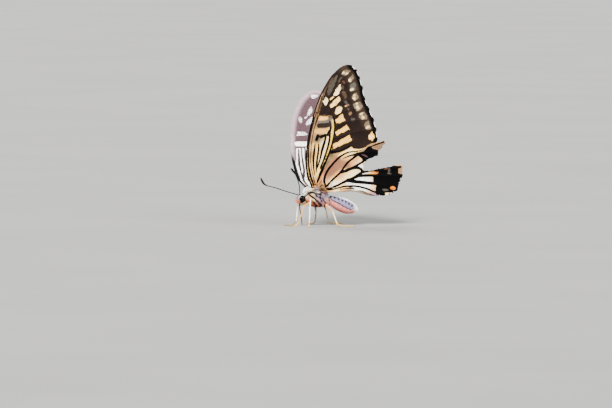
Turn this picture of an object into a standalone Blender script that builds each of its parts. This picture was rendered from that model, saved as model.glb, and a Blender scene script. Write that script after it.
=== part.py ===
"""A swallowtail butterfly, Papilio xuthus, standing on six feet with its wings raised over its back.

The head points to -X, the left side to -Y, and the feet stand on z = 0. Every length below is in
millimetres and becomes metres where a mesh is made. Places on the body count from the middle of the
line between the two forewing hinges. A wing is drawn flat as (chord, span) pairs from its own forewing
hinge: chord runs towards the tail and span runs out along the wing, and both wings of one side share
that flat drawing. The left and right hindwings have lost the same piece, tail included.
"""
import math
from collections import Counter

import bmesh
import bpy
from mathutils import Matrix, Vector
from mathutils.bvhtree import BVHTree
from mathutils.geometry import delaunay_2d_cdt

MM = 0.001
LEFT, RIGHT = -1, 1
SIDE_NAMES = {LEFT: "left", RIGHT: "right"}
GAP = 0.3                       # clear space between neighbouring solids
HINGE_HEIGHT = 14.1             # forewing hinges above the floor

# The pose of the wings: each side opens from the upright by its own angle.
HINGE_HALF_WIDTH = 3.16
OPENING = {LEFT: math.radians(8.5), RIGHT: math.radians(45.8)}
SWEEP = {LEFT: 0.0, RIGHT: math.radians(-2.0)}
WING_REACH = 50.0
TIP_BEND = {LEFT: -0.75, RIGHT: -3.75}   # how far the tip bends towards the upper side

# Wing sheets and their veins.
SHEET_HALF = 0.25
VEIN_RISE = 0.22
VEIN_HALF_WIDTH = 0.4
OUTLINE_STEP = 1.5
VEIN_STEP = 2.4
LATTICE_STEP = 4.2
MERGE_STEP = 0.06
SCALLOP = 0.4                   # depth of the bay between two vein ends
LAYER_LIFT = 1.24               # the hindwing lies this far to the outside of the forewing
HIND_ROOT = (3.7, -0.2)
LAYER_START, LAYER_FULL = 0.3, 2.6  # distances from the hindwing's root where the lift begins and ends

FORE_COSTA = ((-1.0, 0.8), (-2.9, 6.0), (-4.4, 13.0), (-4.3, 20.0), (-2.7, 28.5), (0.6, 37.8),
              (4.7, 44.1), (8.2, 47.4), (11.9, 49.0))
FORE_MARGIN = ((11.9, 49.0), (14.0, 47.2), (15.9, 44.2), (17.3, 40.1), (18.2, 35.9), (19.9, 32.1),
               (22.2, 27.6), (23.6, 23.7), (24.2, 19.6))
FORE_INNER = ((24.2, 19.6), (23.4, 18.2), (17.0, 13.2), (9.0, 7.4), (3.4, 3.0), (1.2, 1.2))
FORE_VEINS = {
    "subcosta": ((-0.6, 1.6), (-2.0, 4.8), (-3.0, 8.4), (-3.6, 13.0), (-3.5, 20.0), (-2.3, 28.0),
                 (-0.9, 33.0)),
    "radius": ((0.0, 1.6), (-0.9, 4.0), (-2.2, 8.4), (-2.6, 14.0), (-2.3, 20.0), (-1.7, 25.0), (0.2, 29.5)),
    "radial_1": ((-1.7, 25.0), (-0.7, 31.0), (0.6, 36.8)),
    "radial_2": ((-0.4, 28.6), (1.4, 36.0), (3.3, 41.8)),
    "radial_3": ((0.2, 29.5), (2.4, 35.6), (5.0, 41.2), (8.9, 47.6)),
    "radial_4": ((4.2, 39.4), (7.2, 42.2), (9.8, 44.6), (13.2, 47.2)),
    "radial_5": ((0.9, 31.6), (2.7, 37.4), (5.6, 40.0), (10.5, 42.0), (15.1, 44.0)),
    "medial_1": ((1.0, 29.7), (3.5, 34.7), (7.6, 37.3), (12.3, 38.5), (16.5, 39.9)),
    "medial_2": ((2.9, 29.2), (5.8, 33.1), (9.6, 34.9), (14.0, 35.3), (17.4, 35.8)),
    "medial_3": ((5.9, 28.6), (9.3, 30.7), (13.1, 31.7), (19.0, 32.0)),
    "cubital_1": ((6.4, 24.8), (11.5, 26.8), (16.4, 27.4), (21.3, 27.5)),
    "cubital_2": ((6.3, 20.1), (12.8, 22.2), (18.9, 23.3), (22.8, 23.6)),
    "cubitus": ((0.4, 1.8), (1.3, 5.8), (3.6, 11.3), (5.6, 17.2), (6.5, 23.6), (5.9, 28.6)),
    "cell_end": ((0.2, 29.5), (2.9, 29.2), (5.9, 28.6)),
    "anal": ((1.2, 2.3), (3.7, 6.0), (8.4, 10.3), (14.2, 14.2), (19.5, 17.2), (23.2, 19.0)),
}

HIND_COSTA = ((2.9, 0.9), (1.8, 3.6), (2.6, 7.0), (5.6, 11.4), (10.0, 15.1), (16.6, 17.2), (22.6, 18.5),
              (26.4, 19.1))
HIND_TIP = ((26.4, 19.1), (26.9, 18.2), (26.0, 17.6), (25.7, 16.4), (24.3, 15.4), (24.3, 13.5))
HIND_TEAR = ((24.3, 13.5), (22.5, 12.9), (19.6, 11.5), (18.3, 10.2), (18.6, 9.2), (18.5, 7.7))
HIND_TORN_EDGE = ((18.5, 7.7), (21.0, 7.5), (24.3, 8.1), (28.4, 8.8), (31.8, 9.7), (33.6, 9.9), (34.5, 9.2))
HIND_MARGIN = ((34.5, 9.2), (34.3, 7.2), (34.7, 5.4), (33.8, 3.4), (33.0, 0.9), (32.8, -0.4), (31.0, -1.3),
               (29.7, -2.3), (28.0, -2.7))
HIND_INNER = ((28.0, -2.7), (25.6, -2.8), (23.1, -2.4), (20.2, -1.3), (17.6, -0.4), (14.0, -0.6), (8.6, -0.9),
              (5.0, -0.9))
HIND_VEINS = {
    "subcosta": ((3.5, 1.8), (3.3, 4.6), (5.3, 8.3), (9.2, 12.5), (12.8, 14.6), (17.2, 15.6), (22.0, 16.9),
                 (25.6, 18.1)),
    "humeral": ((3.3, 3.6), (2.5, 5.4)),
    "radius": ((4.0, 1.3), (7.3, 4.7), (9.5, 6.8), (12.8, 10.6), (16.6, 13.8), (20.5, 15.0), (23.8, 15.2)),
    "medial_1": ((9.5, 6.8), (13.8, 8.1), (15.7, 9.0), (18.3, 10.7)),
    "cell_end": ((15.7, 9.0), (17.1, 8.2), (18.4, 6.7)),
    "cubitus": ((4.6, 0.2), (8.6, 1.6), (13.1, 3.4), (15.4, 4.5), (18.8, 6.9)),
    "medial_3": ((18.8, 6.9), (21.2, 6.7), (24.0, 7.2), (28.4, 8.1), (33.6, 8.9)),
    "cubital_1": ((15.4, 4.5), (19.9, 5.3), (24.0, 5.2), (34.0, 5.2)),
    "cubital_2": ((13.1, 3.4), (18.6, 2.5), (24.6, 1.8), (32.3, 0.1)),
    "anal": ((5.3, -0.2), (8.4, 0.5), (14.0, 1.1), (18.7, 0.6), (22.3, -0.5), (27.6, -1.7)),
}

# The body, which is rolled a little about its length, top to the right.
BODY_ROLL = math.radians(6.0)
ROLL_HEIGHT = -3.2              # height of the roll's axis below the hinges
RING_SIDES = 20
# Stations along the thorax: place x, middle z, half width, half height.
THORAX_STATIONS = ((-3.3, -3.0, 0.9, 1.0), (-2.9, -3.0, 1.7, 1.9), (-1.9, -3.05, 2.5, 2.9),
                   (-0.3, -3.2, 3.05, 3.5), (1.6, -3.25, 3.25, 3.7), (3.4, -3.35, 3.05, 3.5),
                   (4.9, -3.5, 2.5, 3.0), (5.7, -3.6, 1.8, 2.4), (6.0, -3.65, 1.1, 1.5))
THORAX_SQUARENESS = 2.5         # 2 is an ellipse, more is a squarer section
# Sockets that carry the wings: middle chord, span and lift, then radius.
FORE_SOCKET = (0.1, -0.75, -0.1, 1.42)
HIND_SOCKET = (3.5, -0.8, -0.5, 0.97)
# Abdomen: places (x, middle z) along its spine, and the half width and half height at each.
ABDOMEN_SPINE = ((6.36, -3.95), (9.2, -5.2), (12.6, -6.45), (15.8, -7.35), (18.1, -7.95))
ABDOMEN_WIDTHS = (1.9, 2.6, 2.65, 1.95, 0.55)
ABDOMEN_HEIGHTS = (2.1, 2.95, 3.1, 2.1, 0.5)
ABDOMEN_SQUARENESS = 2.1
ABDOMEN_SEGMENTS = 8
RINGS_PER_SEGMENT = 3
SEGMENT_GROOVE = 0.12
ABDOMEN_ENDS = ((-0.05, 0.7), (0.15, 0.5))   # how far each end's cap stands out, and its share of the size
HEAD_MIDDLE = (-5.15, 0.0, -3.55)
HEAD_HALF = (1.5, 1.75, 1.75)
EYE_MIDDLE = (-5.1, 1.62, -3.65)
EYE_HALF = (1.4, 0.95, 1.4)
EYE_CLEARANCE = 0.33
PALP_PATH = ((-6.45, 0.6, -5.6), (-7.2, 0.62, -4.8), (-7.45, 0.64, -3.6), (-7.3, 0.64, -2.6))
PALP_RADII = (0.3, 0.42, 0.4, 0.27)

# Each antenna: root, two places along the shaft, where the club begins, and how its end turns up.
ANTENNA_PATHS = {
    LEFT: ((-5.7, -0.45, -2.0), (-6.9, -3.6, 1.6), (-8.9, -7.0, 4.9), (-10.6, -9.1, 7.0),
           (-12.5, -10.6, 8.9)),
    RIGHT: ((-5.7, 0.45, -2.0), (-9.5, 3.0, -0.9), (-13.6, 5.6, 0.6), (-17.3, 7.7, 1.8),
            (-18.8, 8.5, 4.3)),
}
ANTENNA_STEP = 1.2
SHAFT_RADIUS = 0.25
CLUB_RADIUS = 0.5
CLUB_START, CLUB_FULL = 0.74, 0.9   # shares of the length between which the club swells
CLUB_TAPER = 0.6                # how much of the swelling the club loses again at its tip
PROBOSCIS_PATH = ((-5.6, 0.0, -4.6), (-5.75, 0.0, -6.6), (-5.6, 0.0, -8.6), (-5.25, 0.0, -11.0),
                  (-5.0, 0.0, -13.6))
PROBOSCIS_RADIUS = 0.25
PROBOSCIS_STEP = 1.0

# Each leg: hip inside the thorax, knee, ankle, where the tarsus reaches the floor, and its toe.
LEGS = {
    ("fore", LEFT): ((-1.6, -1.2, -5.0), (-4.6, -2.4, -6.1), (-7, -3.3, -12.2), (-8.4, -3.8), (-10.8, -5.2)),
    ("fore", RIGHT): ((-1.6, 1.2, -5.0), (-5.6, 2.5, -6.2), (-6.0, 3.3, -12.2), (-7.4, 3.9), (-10.0, 5.6)),
    ("mid", LEFT): ((0.4, -1.4, -4.6), (-2.9, -5.3, -3.2), (-3.7, -6.4, -11.2), (-4.3, -7.6), (-5.2, -10.6)),
    ("mid", RIGHT): ((1.0, 1.4, -5.4), (2.9, 6.0, -8.9), (3.3, 8.4, -12.8), (2.9, 10.0), (2.0, 13.0)),
    ("hind", LEFT): ((4.2, -1.2, -5.4), (6.0, -5.6, -8.3), (7.2, -7.0, -12.8), (9.0, -7.9), (13.2, -9.4)),
    ("hind", RIGHT): ((4.2, 1.2, -5.4), (6.8, 5.8, -8.0), (8.4, 7.6, -12.8), (10.2, 8.6), (14.4, 10.2)),
}
FEMUR_RADII = (0.5, 0.55, 0.36)
TIBIA_RADII = (0.32, 0.36, 0.3)
TARSUS_RADII = (0.26, 0.32, 0.3, 0.27)
FOOT_SINK = 0.78                # the tarsus axis lies this share of its radius above the floor
LIMB_MIDDLE = 0.5               # share of a limb's length where its middle radius applies
SHARPEST_BEND = 2.2             # radians, the most that a joint's cut allows for
JOINT_GAP = 0.7 * GAP           # what each limb loses at a joint beside the bend's own cut
TUBE_SIDES = 8
WELD = 1e-6                     # metres

COLOURS = {
    "thorax": (0.55, 0.50, 0.52), "abdomen": (0.74, 0.60, 0.60), "head": (0.30, 0.26, 0.25),
    "eye": (0.02, 0.02, 0.02), "palp": (0.72, 0.62, 0.50), "antenna": (0.05, 0.04, 0.04),
    "proboscis": (0.06, 0.05, 0.04), "forewing": (0.70, 0.58, 0.42), "hindwing": (0.78, 0.64, 0.50),
    "femur": (0.74, 0.62, 0.48), "tibia": (0.80, 0.70, 0.54), "tarsus": (0.78, 0.60, 0.30),
}


def clear_scene():
    for thing in list(bpy.data.objects):
        bpy.data.objects.remove(thing, do_unlink=True)


def new_collection(name):
    collection = bpy.data.collections.new(name)
    bpy.context.scene.collection.children.link(collection)
    return collection


def material_for(kind):
    """One Principled material for a kind of part, made once."""
    if kind in bpy.data.materials:
        return bpy.data.materials[kind]
    material = bpy.data.materials.new(kind)
    material.use_nodes = True
    shader = material.node_tree.nodes["Principled BSDF"]
    shader.inputs["Base Color"].default_value = (*COLOURS[kind], 1.0)
    shader.inputs["Roughness"].default_value = 0.15 if kind == "eye" else 0.7
    shader.inputs["Metallic"].default_value = 0.0
    return material


def new_object(name, kind, vertices, faces):
    """A mesh object from millimetre points, in its own material."""
    mesh = bpy.data.meshes.new(name)
    mesh.from_pydata([Vector(point) * MM for point in vertices], [], faces)
    mesh.shade_smooth()
    mesh.materials.append(material_for(kind))
    thing = bpy.data.objects.new(name, mesh)
    PART.objects.link(thing)
    return thing


def blend(low, high, share):
    return low + (high - low) * share


def eased(value, low, high):
    share = min(1.0, max(0.0, (value - low) / (high - low)))
    return share * share * (3.0 - 2.0 * share)


def curve_point(points, index, share):
    """A point on the Catmull-Rom curve through the points, within the span after the index."""
    before = points[max(index - 1, 0)]
    start, end = points[index], points[index + 1]
    after = points[min(index + 2, len(points) - 1)]
    square, cube = share * share, share ** 3
    return 0.5 * ((2.0 * start) + (end - before) * share
                  + (2.0 * before - 5.0 * start + 4.0 * end - after) * square
                  + (3.0 * start - before - 3.0 * end + after) * cube)


def smooth_line(points, step):
    """The smooth curve through the points, read about every step."""
    points = [Vector(point) for point in points]
    line = []
    for index in range(len(points) - 1):
        count = max(1, round((points[index + 1] - points[index]).length / step))
        line += [curve_point(points, index, number / count) for number in range(count)]
    return line + [points[-1]]


def joined_outline(*runs):
    """One closed outline from runs that start where the last one ended."""
    return [point for run in runs for point in run[:-1]]


def scalloped(ends):
    """A margin that bays in between the vein ends."""
    line = []
    for start, end in zip(ends, ends[1:]):
        start, end = Vector(start), Vector(end)
        along = end - start
        inward = Vector((along.y, -along.x)).normalized()
        line += [start, start.lerp(end, 0.5) + inward * SCALLOP]
    return line + [Vector(ends[-1])]


def distance_to_line(point, line):
    shortest = math.inf
    for start, end in zip(line, line[1:]):
        along = end - start
        share = max(0.0, min(1.0, (point - start).dot(along) / along.length_squared))
        shortest = min(shortest, (point - start - along * share).length)
    return shortest


def offset_line(line, offset):
    """The line moved sideways."""
    moved = []
    for index, point in enumerate(line):
        along = (line[min(index + 1, len(line) - 1)] - line[max(index - 1, 0)]).normalized()
        moved.append(point + Vector((along.y, -along.x)) * offset)
    return moved


def wing_place(side, chord, span, lift):
    """Where a point of the flat wing drawing is on the posed butterfly."""
    turn, opening = SWEEP[side], OPENING[side]
    back = chord * math.cos(turn) - span * math.sin(turn)
    out = chord * math.sin(turn) + span * math.cos(turn)
    lift += TIP_BEND[side] * (out / WING_REACH) ** 2
    sideways = HINGE_HALF_WIDTH + math.sin(opening) * out + math.cos(opening) * lift
    return Vector((back, side * sideways, math.cos(opening) * out - math.sin(opening) * lift))


def fore_lift(_chord, _span):
    return 0.0


def hind_lift(chord, span):
    """The hindwing leaves its socket beside the forewing and then lies over its outside."""
    away = math.dist((chord, span), HIND_ROOT)
    return LAYER_LIFT * eased(away, LAYER_START, LAYER_FULL)


def lattice(outline, lines):
    """Loose inner points, away from the outline and the veins, so that the sheet can bend."""
    walls = [outline + outline[:1]] + lines
    chords = [point.x for point in outline]
    spans = [point.y for point in outline]
    found = []
    span = min(spans)
    while span < max(spans):
        chord = min(chords)
        while chord < max(chords):
            point = Vector((chord, span))
            if min(distance_to_line(point, wall) for wall in walls) > LATTICE_STEP / 3:
                found.append(point)
            chord += LATTICE_STEP
        span += LATTICE_STEP
    return found


def wing_triangles(outline, veins):
    """Triangles of the flat wing, with edges along each vein's crest and both its feet."""
    points = list(outline)
    edges = [(index, (index + 1) % len(outline)) for index in range(len(outline))]
    for vein in veins:
        for offset in (0.0, -VEIN_HALF_WIDTH, VEIN_HALF_WIDTH):
            line = offset_line(vein, offset)
            first = len(points)
            points += line
            edges += [(first + index, first + index + 1) for index in range(len(line) - 1)]
    points += lattice(outline, veins)
    result = delaunay_2d_cdt(points, edges, [], 1, MERGE_STEP)
    return result[0], result[2]


def wing(name, kind, side, outline, veins, lift_at):
    """A wing sheet with the same triangles on both faces, its veins raised in them."""
    veins = [smooth_line(vein, VEIN_STEP) for vein in veins.values()]
    flat, triangles = wing_triangles(outline, veins)
    used = sorted({corner for face in triangles for corner in face})
    number = {corner: index for index, corner in enumerate(used)}
    upper, lower = [], []
    for corner in used:
        point = flat[corner]
        near = min(distance_to_line(point, vein) for vein in veins)
        half = SHEET_HALF + VEIN_RISE * max(0.0, 1.0 - near / VEIN_HALF_WIDTH)
        lift = lift_at(point.x, point.y)
        upper.append(wing_place(side, point.x, point.y, lift - half))
        lower.append(wing_place(side, point.x, point.y, lift + half))
    faces = [[number[corner] for corner in face] for face in triangles]
    faces += [[corner + len(used) for corner in reversed(face)] for face in faces]
    faces += rim_faces(faces[:len(triangles)], len(used))
    thing = new_object(name, kind, upper + lower, faces)
    face_outwards(thing)


def rim_faces(triangles, below):
    """Two triangles for each edge that only one triangle has, down to the lower face's points."""
    edges = [edge for face in triangles for edge in zip(face, face[1:] + face[:1])]
    uses = Counter(tuple(sorted(edge)) for edge in edges)
    faces = []
    for start, end in edges:
        if uses[tuple(sorted((start, end)))] == 1:
            faces += [(end, start, start + below), (end, start + below, end + below)]
    return faces


def face_outwards(thing):
    shape = bmesh.new()
    shape.from_mesh(thing.data)
    bmesh.ops.recalc_face_normals(shape, faces=shape.faces)
    shape.to_mesh(thing.data)
    shape.free()


def forewing_outline():
    costa, inner = smooth_line(FORE_COSTA, OUTLINE_STEP), smooth_line(FORE_INNER, OUTLINE_STEP)
    root = (Vector(FORE_INNER[-1]), Vector(FORE_COSTA[0]))
    return joined_outline(costa, scalloped(FORE_MARGIN), inner, root)


def hindwing_outline():
    edges = (HIND_COSTA, HIND_TIP, HIND_TEAR, HIND_TORN_EDGE, HIND_MARGIN, HIND_INNER)
    runs = [smooth_line(edge, OUTLINE_STEP) for edge in edges]
    return joined_outline(*runs, (Vector(HIND_INNER[-1]), Vector(HIND_COSTA[0])))


def make_wings():
    for side, word in SIDE_NAMES.items():
        wing("forewing_" + word, "forewing", side, forewing_outline(), FORE_VEINS, fore_lift)
        wing("hindwing_" + word, "hindwing", side, hindwing_outline(), HIND_VEINS, hind_lift)


def rolled(point):
    """A point of the upright body after the body's roll."""
    pivot = Vector((0.0, 0.0, ROLL_HEIGHT))
    return Matrix.Rotation(-BODY_ROLL, 3, "X") @ (Vector(point) - pivot) + pivot


def ring(station, squareness):
    """The points round one cross-section of the body."""
    place, middle, half_width, half_height = station
    points = []
    for number in range(RING_SIDES):
        angle = math.tau * number / RING_SIDES
        across, up = math.cos(angle), math.sin(angle)
        across = math.copysign(abs(across) ** (2.0 / squareness), across)
        up = math.copysign(abs(up) ** (2.0 / squareness), up)
        points.append(rolled((place, across * half_width, middle + up * half_height)))
    return points


def loft(name, kind, stations, squareness):
    """A closed skin through the cross-sections, with a cap on both ends."""
    rings = [ring(station, squareness) for station in stations]
    vertices = [point for one in rings for point in one]
    faces = []
    for level in range(len(rings) - 1):
        for number in range(RING_SIDES):
            after = (number + 1) % RING_SIDES
            low, high = level * RING_SIDES, (level + 1) * RING_SIDES
            faces.append((low + number, low + after, high + after, high + number))
    faces.append(tuple(reversed(range(RING_SIDES))))
    faces.append(tuple(range(len(vertices) - RING_SIDES, len(vertices))))
    thing = new_object(name, kind, vertices, faces)
    face_outwards(thing)
    return thing


def ellipsoid(name, kind, middle, half, collection, segments=20, rings=12):
    """An ellipsoid from a sphere primitive."""
    bpy.ops.mesh.primitive_uv_sphere_add(segments=segments, ring_count=rings, radius=MM)
    thing = bpy.context.active_object
    thing.name = name
    thing.data.name = name
    thing.data.transform(Matrix.Diagonal((*half, 1.0)))
    thing.data.transform(Matrix.Translation(Vector(middle) * MM))
    thing.data.shade_smooth()
    thing.data.materials.append(material_for(kind))
    for home in list(thing.users_collection):
        home.objects.unlink(thing)
    collection.objects.link(thing)
    return thing


def as_cutter(thing):
    thing.hide_render = True
    thing.display_type = "WIRE"


def join_shapes(thing, others):
    """Fuse closed shapes into the thing with one Boolean union, and remove them."""
    group = new_collection(thing.name + "_joined")
    for other in others:
        for home in list(other.users_collection):
            home.objects.unlink(other)
        group.objects.link(other)
    modifier = thing.modifiers.new("joined", "BOOLEAN")
    modifier.operation = "UNION"
    modifier.operand_type = "COLLECTION"
    modifier.collection = group
    evaluated = thing.evaluated_get(bpy.context.evaluated_depsgraph_get())
    mesh = bpy.data.meshes.new_from_object(evaluated)
    thing.modifiers.clear()
    thing.data = mesh
    for other in others:
        bpy.data.objects.remove(other, do_unlink=True)
    bpy.data.collections.remove(group)
    keep_largest(thing)


def keep_largest(thing):
    """Keep only the largest closed surface of the mesh."""
    shape = bmesh.new()
    shape.from_mesh(thing.data)
    bmesh.ops.remove_doubles(shape, verts=shape.verts, dist=WELD)
    left = set(shape.verts)
    pieces = []
    while left:
        piece, edge_of_search = set(), [left.pop()]
        while edge_of_search:
            vertex = edge_of_search.pop()
            piece.add(vertex)
            for edge in vertex.link_edges:
                other = edge.other_vert(vertex)
                if other in left:
                    left.remove(other)
                    edge_of_search.append(other)
        pieces.append(piece)
    pieces.sort(key=len)
    for piece in pieces[:-1]:
        bmesh.ops.delete(shape, geom=list(piece), context="VERTS")
    shape.to_mesh(thing.data)
    shape.free()


def make_thorax():
    thorax = loft("thorax", "thorax", THORAX_STATIONS, THORAX_SQUARENESS)
    sockets = []
    for side, word in SIDE_NAMES.items():
        for label, (chord, span, lift, radius) in (("fore", FORE_SOCKET), ("hind", HIND_SOCKET)):
            middle = wing_place(side, chord, span, lift)
            sockets.append(ellipsoid(label + "_socket_" + word, "thorax", middle, (radius,) * 3, CUTTERS,
                                     segments=12, rings=8))
    join_shapes(thorax, sockets)
    return thorax


def abdomen_stations():
    """Cross-sections along the abdomen, drawn in a little between its segments."""
    spine = [Vector((*place, 0.0)) for place in ABDOMEN_SPINE]
    sizes = [Vector((width, height, 0.0)) for width, height in zip(ABDOMEN_WIDTHS, ABDOMEN_HEIGHTS)]
    spans = len(spine) - 1
    stations = []
    steps = ABDOMEN_SEGMENTS * RINGS_PER_SEGMENT
    for number in range(steps + 1):
        along = number / steps * spans
        index = min(int(along), spans - 1)
        place = curve_point(spine, index, along - index)
        size = curve_point(sizes, index, along - index)
        between = number % RINGS_PER_SEGMENT == 0 and 0 < number < steps
        groove = SEGMENT_GROOVE if between else 0.0
        stations.append((place.x, place.y, size.x - groove, size.y - groove))
    ends = []
    for station, (out, share) in zip((stations[0], stations[-1]), ABDOMEN_ENDS):
        place, middle, half_width, half_height = station
        ends.append((place + out, middle, half_width * share, half_height * share))
    return [ends[0], *stations, ends[1]]


def mirrored(point, side):
    return (point[0], side * point[1], point[2])


def make_head():
    """The head, hollowed where each eye sits."""
    head = ellipsoid("head", "head", rolled(HEAD_MIDDLE), HEAD_HALF, PART, segments=24, rings=16)
    for side, word in SIDE_NAMES.items():
        middle = rolled(mirrored(EYE_MIDDLE, side))
        ellipsoid("eye_" + word, "eye", middle, EYE_HALF, PART)
        wide = [size + EYE_CLEARANCE for size in EYE_HALF]
        hollow = ellipsoid("eye_hollow_" + word, "eye", middle, wide, CUTTERS)
        as_cutter(hollow)
        cut = head.modifiers.new("eye_hollow_" + word, "BOOLEAN")
        cut.operation = "DIFFERENCE"
        cut.object = hollow
    return head


def surface_tree(thing):
    """A search tree over the evaluated surface, in millimetres."""
    evaluated = thing.evaluated_get(bpy.context.evaluated_depsgraph_get())
    mesh = evaluated.to_mesh()
    points = [vertex.co / MM for vertex in mesh.vertices]
    tree = BVHTree.FromPolygons(points, [list(face.vertices) for face in mesh.polygons])
    evaluated.to_mesh_clear()
    return tree


def end_ring(place, along, radius):
    """The points round a tube's end."""
    across = along.orthogonal().normalized()
    turns = [Matrix.Rotation(math.tau * number / TUBE_SIDES, 3, along) for number in range(TUBE_SIDES)]
    return [place + turn @ across * radius for turn in turns]


def grown_from(tree, path, radius, step=0.04):
    """The path without its first stretch, inside or nearer than the gap to what it grows from."""
    line = smooth_line(path, step)
    for index in range(len(line) - 2, -1, -1):
        along = line[index + 1] - line[index]
        if min(tree.find_nearest(point)[3] for point in end_ring(line[index], along, radius)) < GAP:
            break
    start = line[index + 1]
    reach = (start - line[-1]).length - 2.0 * radius
    return [start] + [Vector(point) for point in path if (Vector(point) - line[-1]).length < reach]


def tube(name, kind, path, radii, on_floor=False):
    """A closed round tube along the path, as thick at each point as the radii say."""
    curve = bpy.data.curves.new(name, "CURVE")
    curve.dimensions = "3D"
    curve.bevel_depth = MM
    curve.bevel_resolution = 2
    curve.use_fill_caps = True
    spline = curve.splines.new("POLY")
    spline.points.add(len(path) - 1)
    for point, place, radius in zip(spline.points, path, radii):
        point.co = (*(Vector(place) * MM), 1.0)
        point.radius = radius
    guide = bpy.data.objects.new(name + "_path", curve)
    PART.objects.link(guide)
    evaluated = guide.evaluated_get(bpy.context.evaluated_depsgraph_get())
    mesh = bpy.data.meshes.new_from_object(evaluated)
    bpy.data.objects.remove(guide, do_unlink=True)
    mesh.name = name
    shape = bmesh.new()
    shape.from_mesh(mesh)
    bmesh.ops.remove_doubles(shape, verts=shape.verts, dist=WELD)
    if on_floor:
        for vertex in shape.verts:
            vertex.co.z = max(vertex.co.z, -HINGE_HEIGHT * MM)
    bmesh.ops.recalc_face_normals(shape, faces=shape.faces)
    shape.to_mesh(mesh)
    shape.free()
    mesh.materials.clear()
    mesh.materials.append(material_for(kind))
    mesh.shade_smooth()
    thing = bpy.data.objects.new(name, mesh)
    PART.objects.link(thing)
    return thing


def make_face(head_tree):
    """Palps, proboscis and antennae, each grown from the head."""
    for side, word in SIDE_NAMES.items():
        path = [rolled(mirrored(point, side)) for point in PALP_PATH]
        tube("palp_" + word, "palp", path, PALP_RADII)
        make_antenna(head_tree, side, word)
    path = [rolled(point) for point in smooth_line(PROBOSCIS_PATH, PROBOSCIS_STEP)]
    path = grown_from(head_tree, path, PROBOSCIS_RADIUS)
    tube("proboscis", "proboscis", path, [PROBOSCIS_RADIUS] * len(path))


def make_antenna(head_tree, side, word):
    """A thin shaft that swells to a club before its end."""
    path = smooth_line([rolled(ANTENNA_PATHS[side][0]), *ANTENNA_PATHS[side][1:]], ANTENNA_STEP)
    path = grown_from(head_tree, path, SHAFT_RADIUS)
    radii = []
    for number in range(len(path)):
        share = number / (len(path) - 1)
        swell = eased(share, CLUB_START, CLUB_FULL) - CLUB_TAPER * eased(share, CLUB_FULL, 1.0)
        radii.append(blend(SHAFT_RADIUS, CLUB_RADIUS, swell))
    tube("antenna_" + word, "antenna", path, radii)


def trimmed(path, start_cut, end_cut):
    """The path with a length taken off each end."""
    path = [Vector(point) for point in path]
    first = (path[1] - path[0]).normalized() * start_cut
    last = (path[-2] - path[-1]).normalized() * end_cut
    return [path[0] + first] + path[1:-1] + [path[-1] + last]


def joint_cut(before, joint, after, radius):
    """How much two limbs lose at their joint, so that their ends stay apart by the gap."""
    bend = (Vector(joint) - Vector(before)).angle(Vector(after) - Vector(joint))
    return JOINT_GAP + radius * math.tan(min(bend, SHARPEST_BEND) / 2.0)


def make_leg(pair, side, thorax_tree):
    hip, knee, ankle, heel, toe = LEGS[(pair, side)]
    floor = -HINGE_HEIGHT + TARSUS_RADII[-1] * FOOT_SINK
    heel, toe = (*heel, floor), (*toe, floor)
    label = "_{}_{}".format(pair, SIDE_NAMES[side])
    knee_cut = joint_cut(hip, knee, ankle, TIBIA_RADII[0])
    ankle_cut = joint_cut(knee, ankle, heel, TARSUS_RADII[0])
    start = grown_from(thorax_tree, (hip, knee), FEMUR_RADII[0])[0]
    femur = trimmed((start, start.lerp(Vector(knee), LIMB_MIDDLE), knee), 0.0, knee_cut)
    tube("femur" + label, "femur", femur, FEMUR_RADII)
    tibia = trimmed((knee, Vector(knee).lerp(Vector(ankle), LIMB_MIDDLE), ankle), knee_cut, ankle_cut)
    tube("tibia" + label, "tibia", tibia, TIBIA_RADII)
    middle = Vector(heel).lerp(Vector(toe), LIMB_MIDDLE)
    tarsus = trimmed((ankle, heel, middle, toe), ankle_cut, 0.0)
    tube("tarsus" + label, "tarsus", tarsus, TARSUS_RADII, on_floor=True)


def stand_on_floor():
    """Move every part so that the box's bottom centre is at the origin."""
    low = Vector((math.inf,) * 3)
    high = Vector((-math.inf,) * 3)
    depsgraph = bpy.context.evaluated_depsgraph_get()
    for thing in PART.objects:
        mesh = thing.evaluated_get(depsgraph).to_mesh()
        for vertex in mesh.vertices:
            low = Vector(map(min, low, vertex.co))
            high = Vector(map(max, high, vertex.co))
    middle = (low + high) / 2.0
    stand = bpy.data.objects.new("butterfly_place", None)
    stand.location = (-middle.x, -middle.y, HINGE_HEIGHT * MM)
    things = [thing for group in (PART, CUTTERS) for thing in group.objects]
    PART.objects.link(stand)
    for thing in things:
        thing.parent = stand


clear_scene()
PART = new_collection("swallowtail_butterfly")
CUTTERS = new_collection("cutters")
make_wings()
thorax_surface = surface_tree(make_thorax())
loft("abdomen", "abdomen", abdomen_stations(), ABDOMEN_SQUARENESS)
head_surface = surface_tree(make_head())
make_face(head_surface)
for leg_pair, leg_side in LEGS:
    make_leg(leg_pair, leg_side, thorax_surface)
stand_on_floor()
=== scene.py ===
"""The looks of a life-size swallowtail butterfly, Papilio xuthus, dressed over its solids.

The head points to -X, the left side to -Y, and the feet stand on z = 0. Lengths are in millimetres and
become metres where a mesh is made, except on the stage. Places on the body count from the middle of the
line between the two forewing hinges. A wing is drawn flat as (chord, span) pairs from its own forewing
hinge: chord runs towards the tail and span runs out along the wing.
"""
import math

import bmesh
import bpy
import numpy as np
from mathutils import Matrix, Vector
from mathutils.geometry import delaunay_2d_cdt


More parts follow.
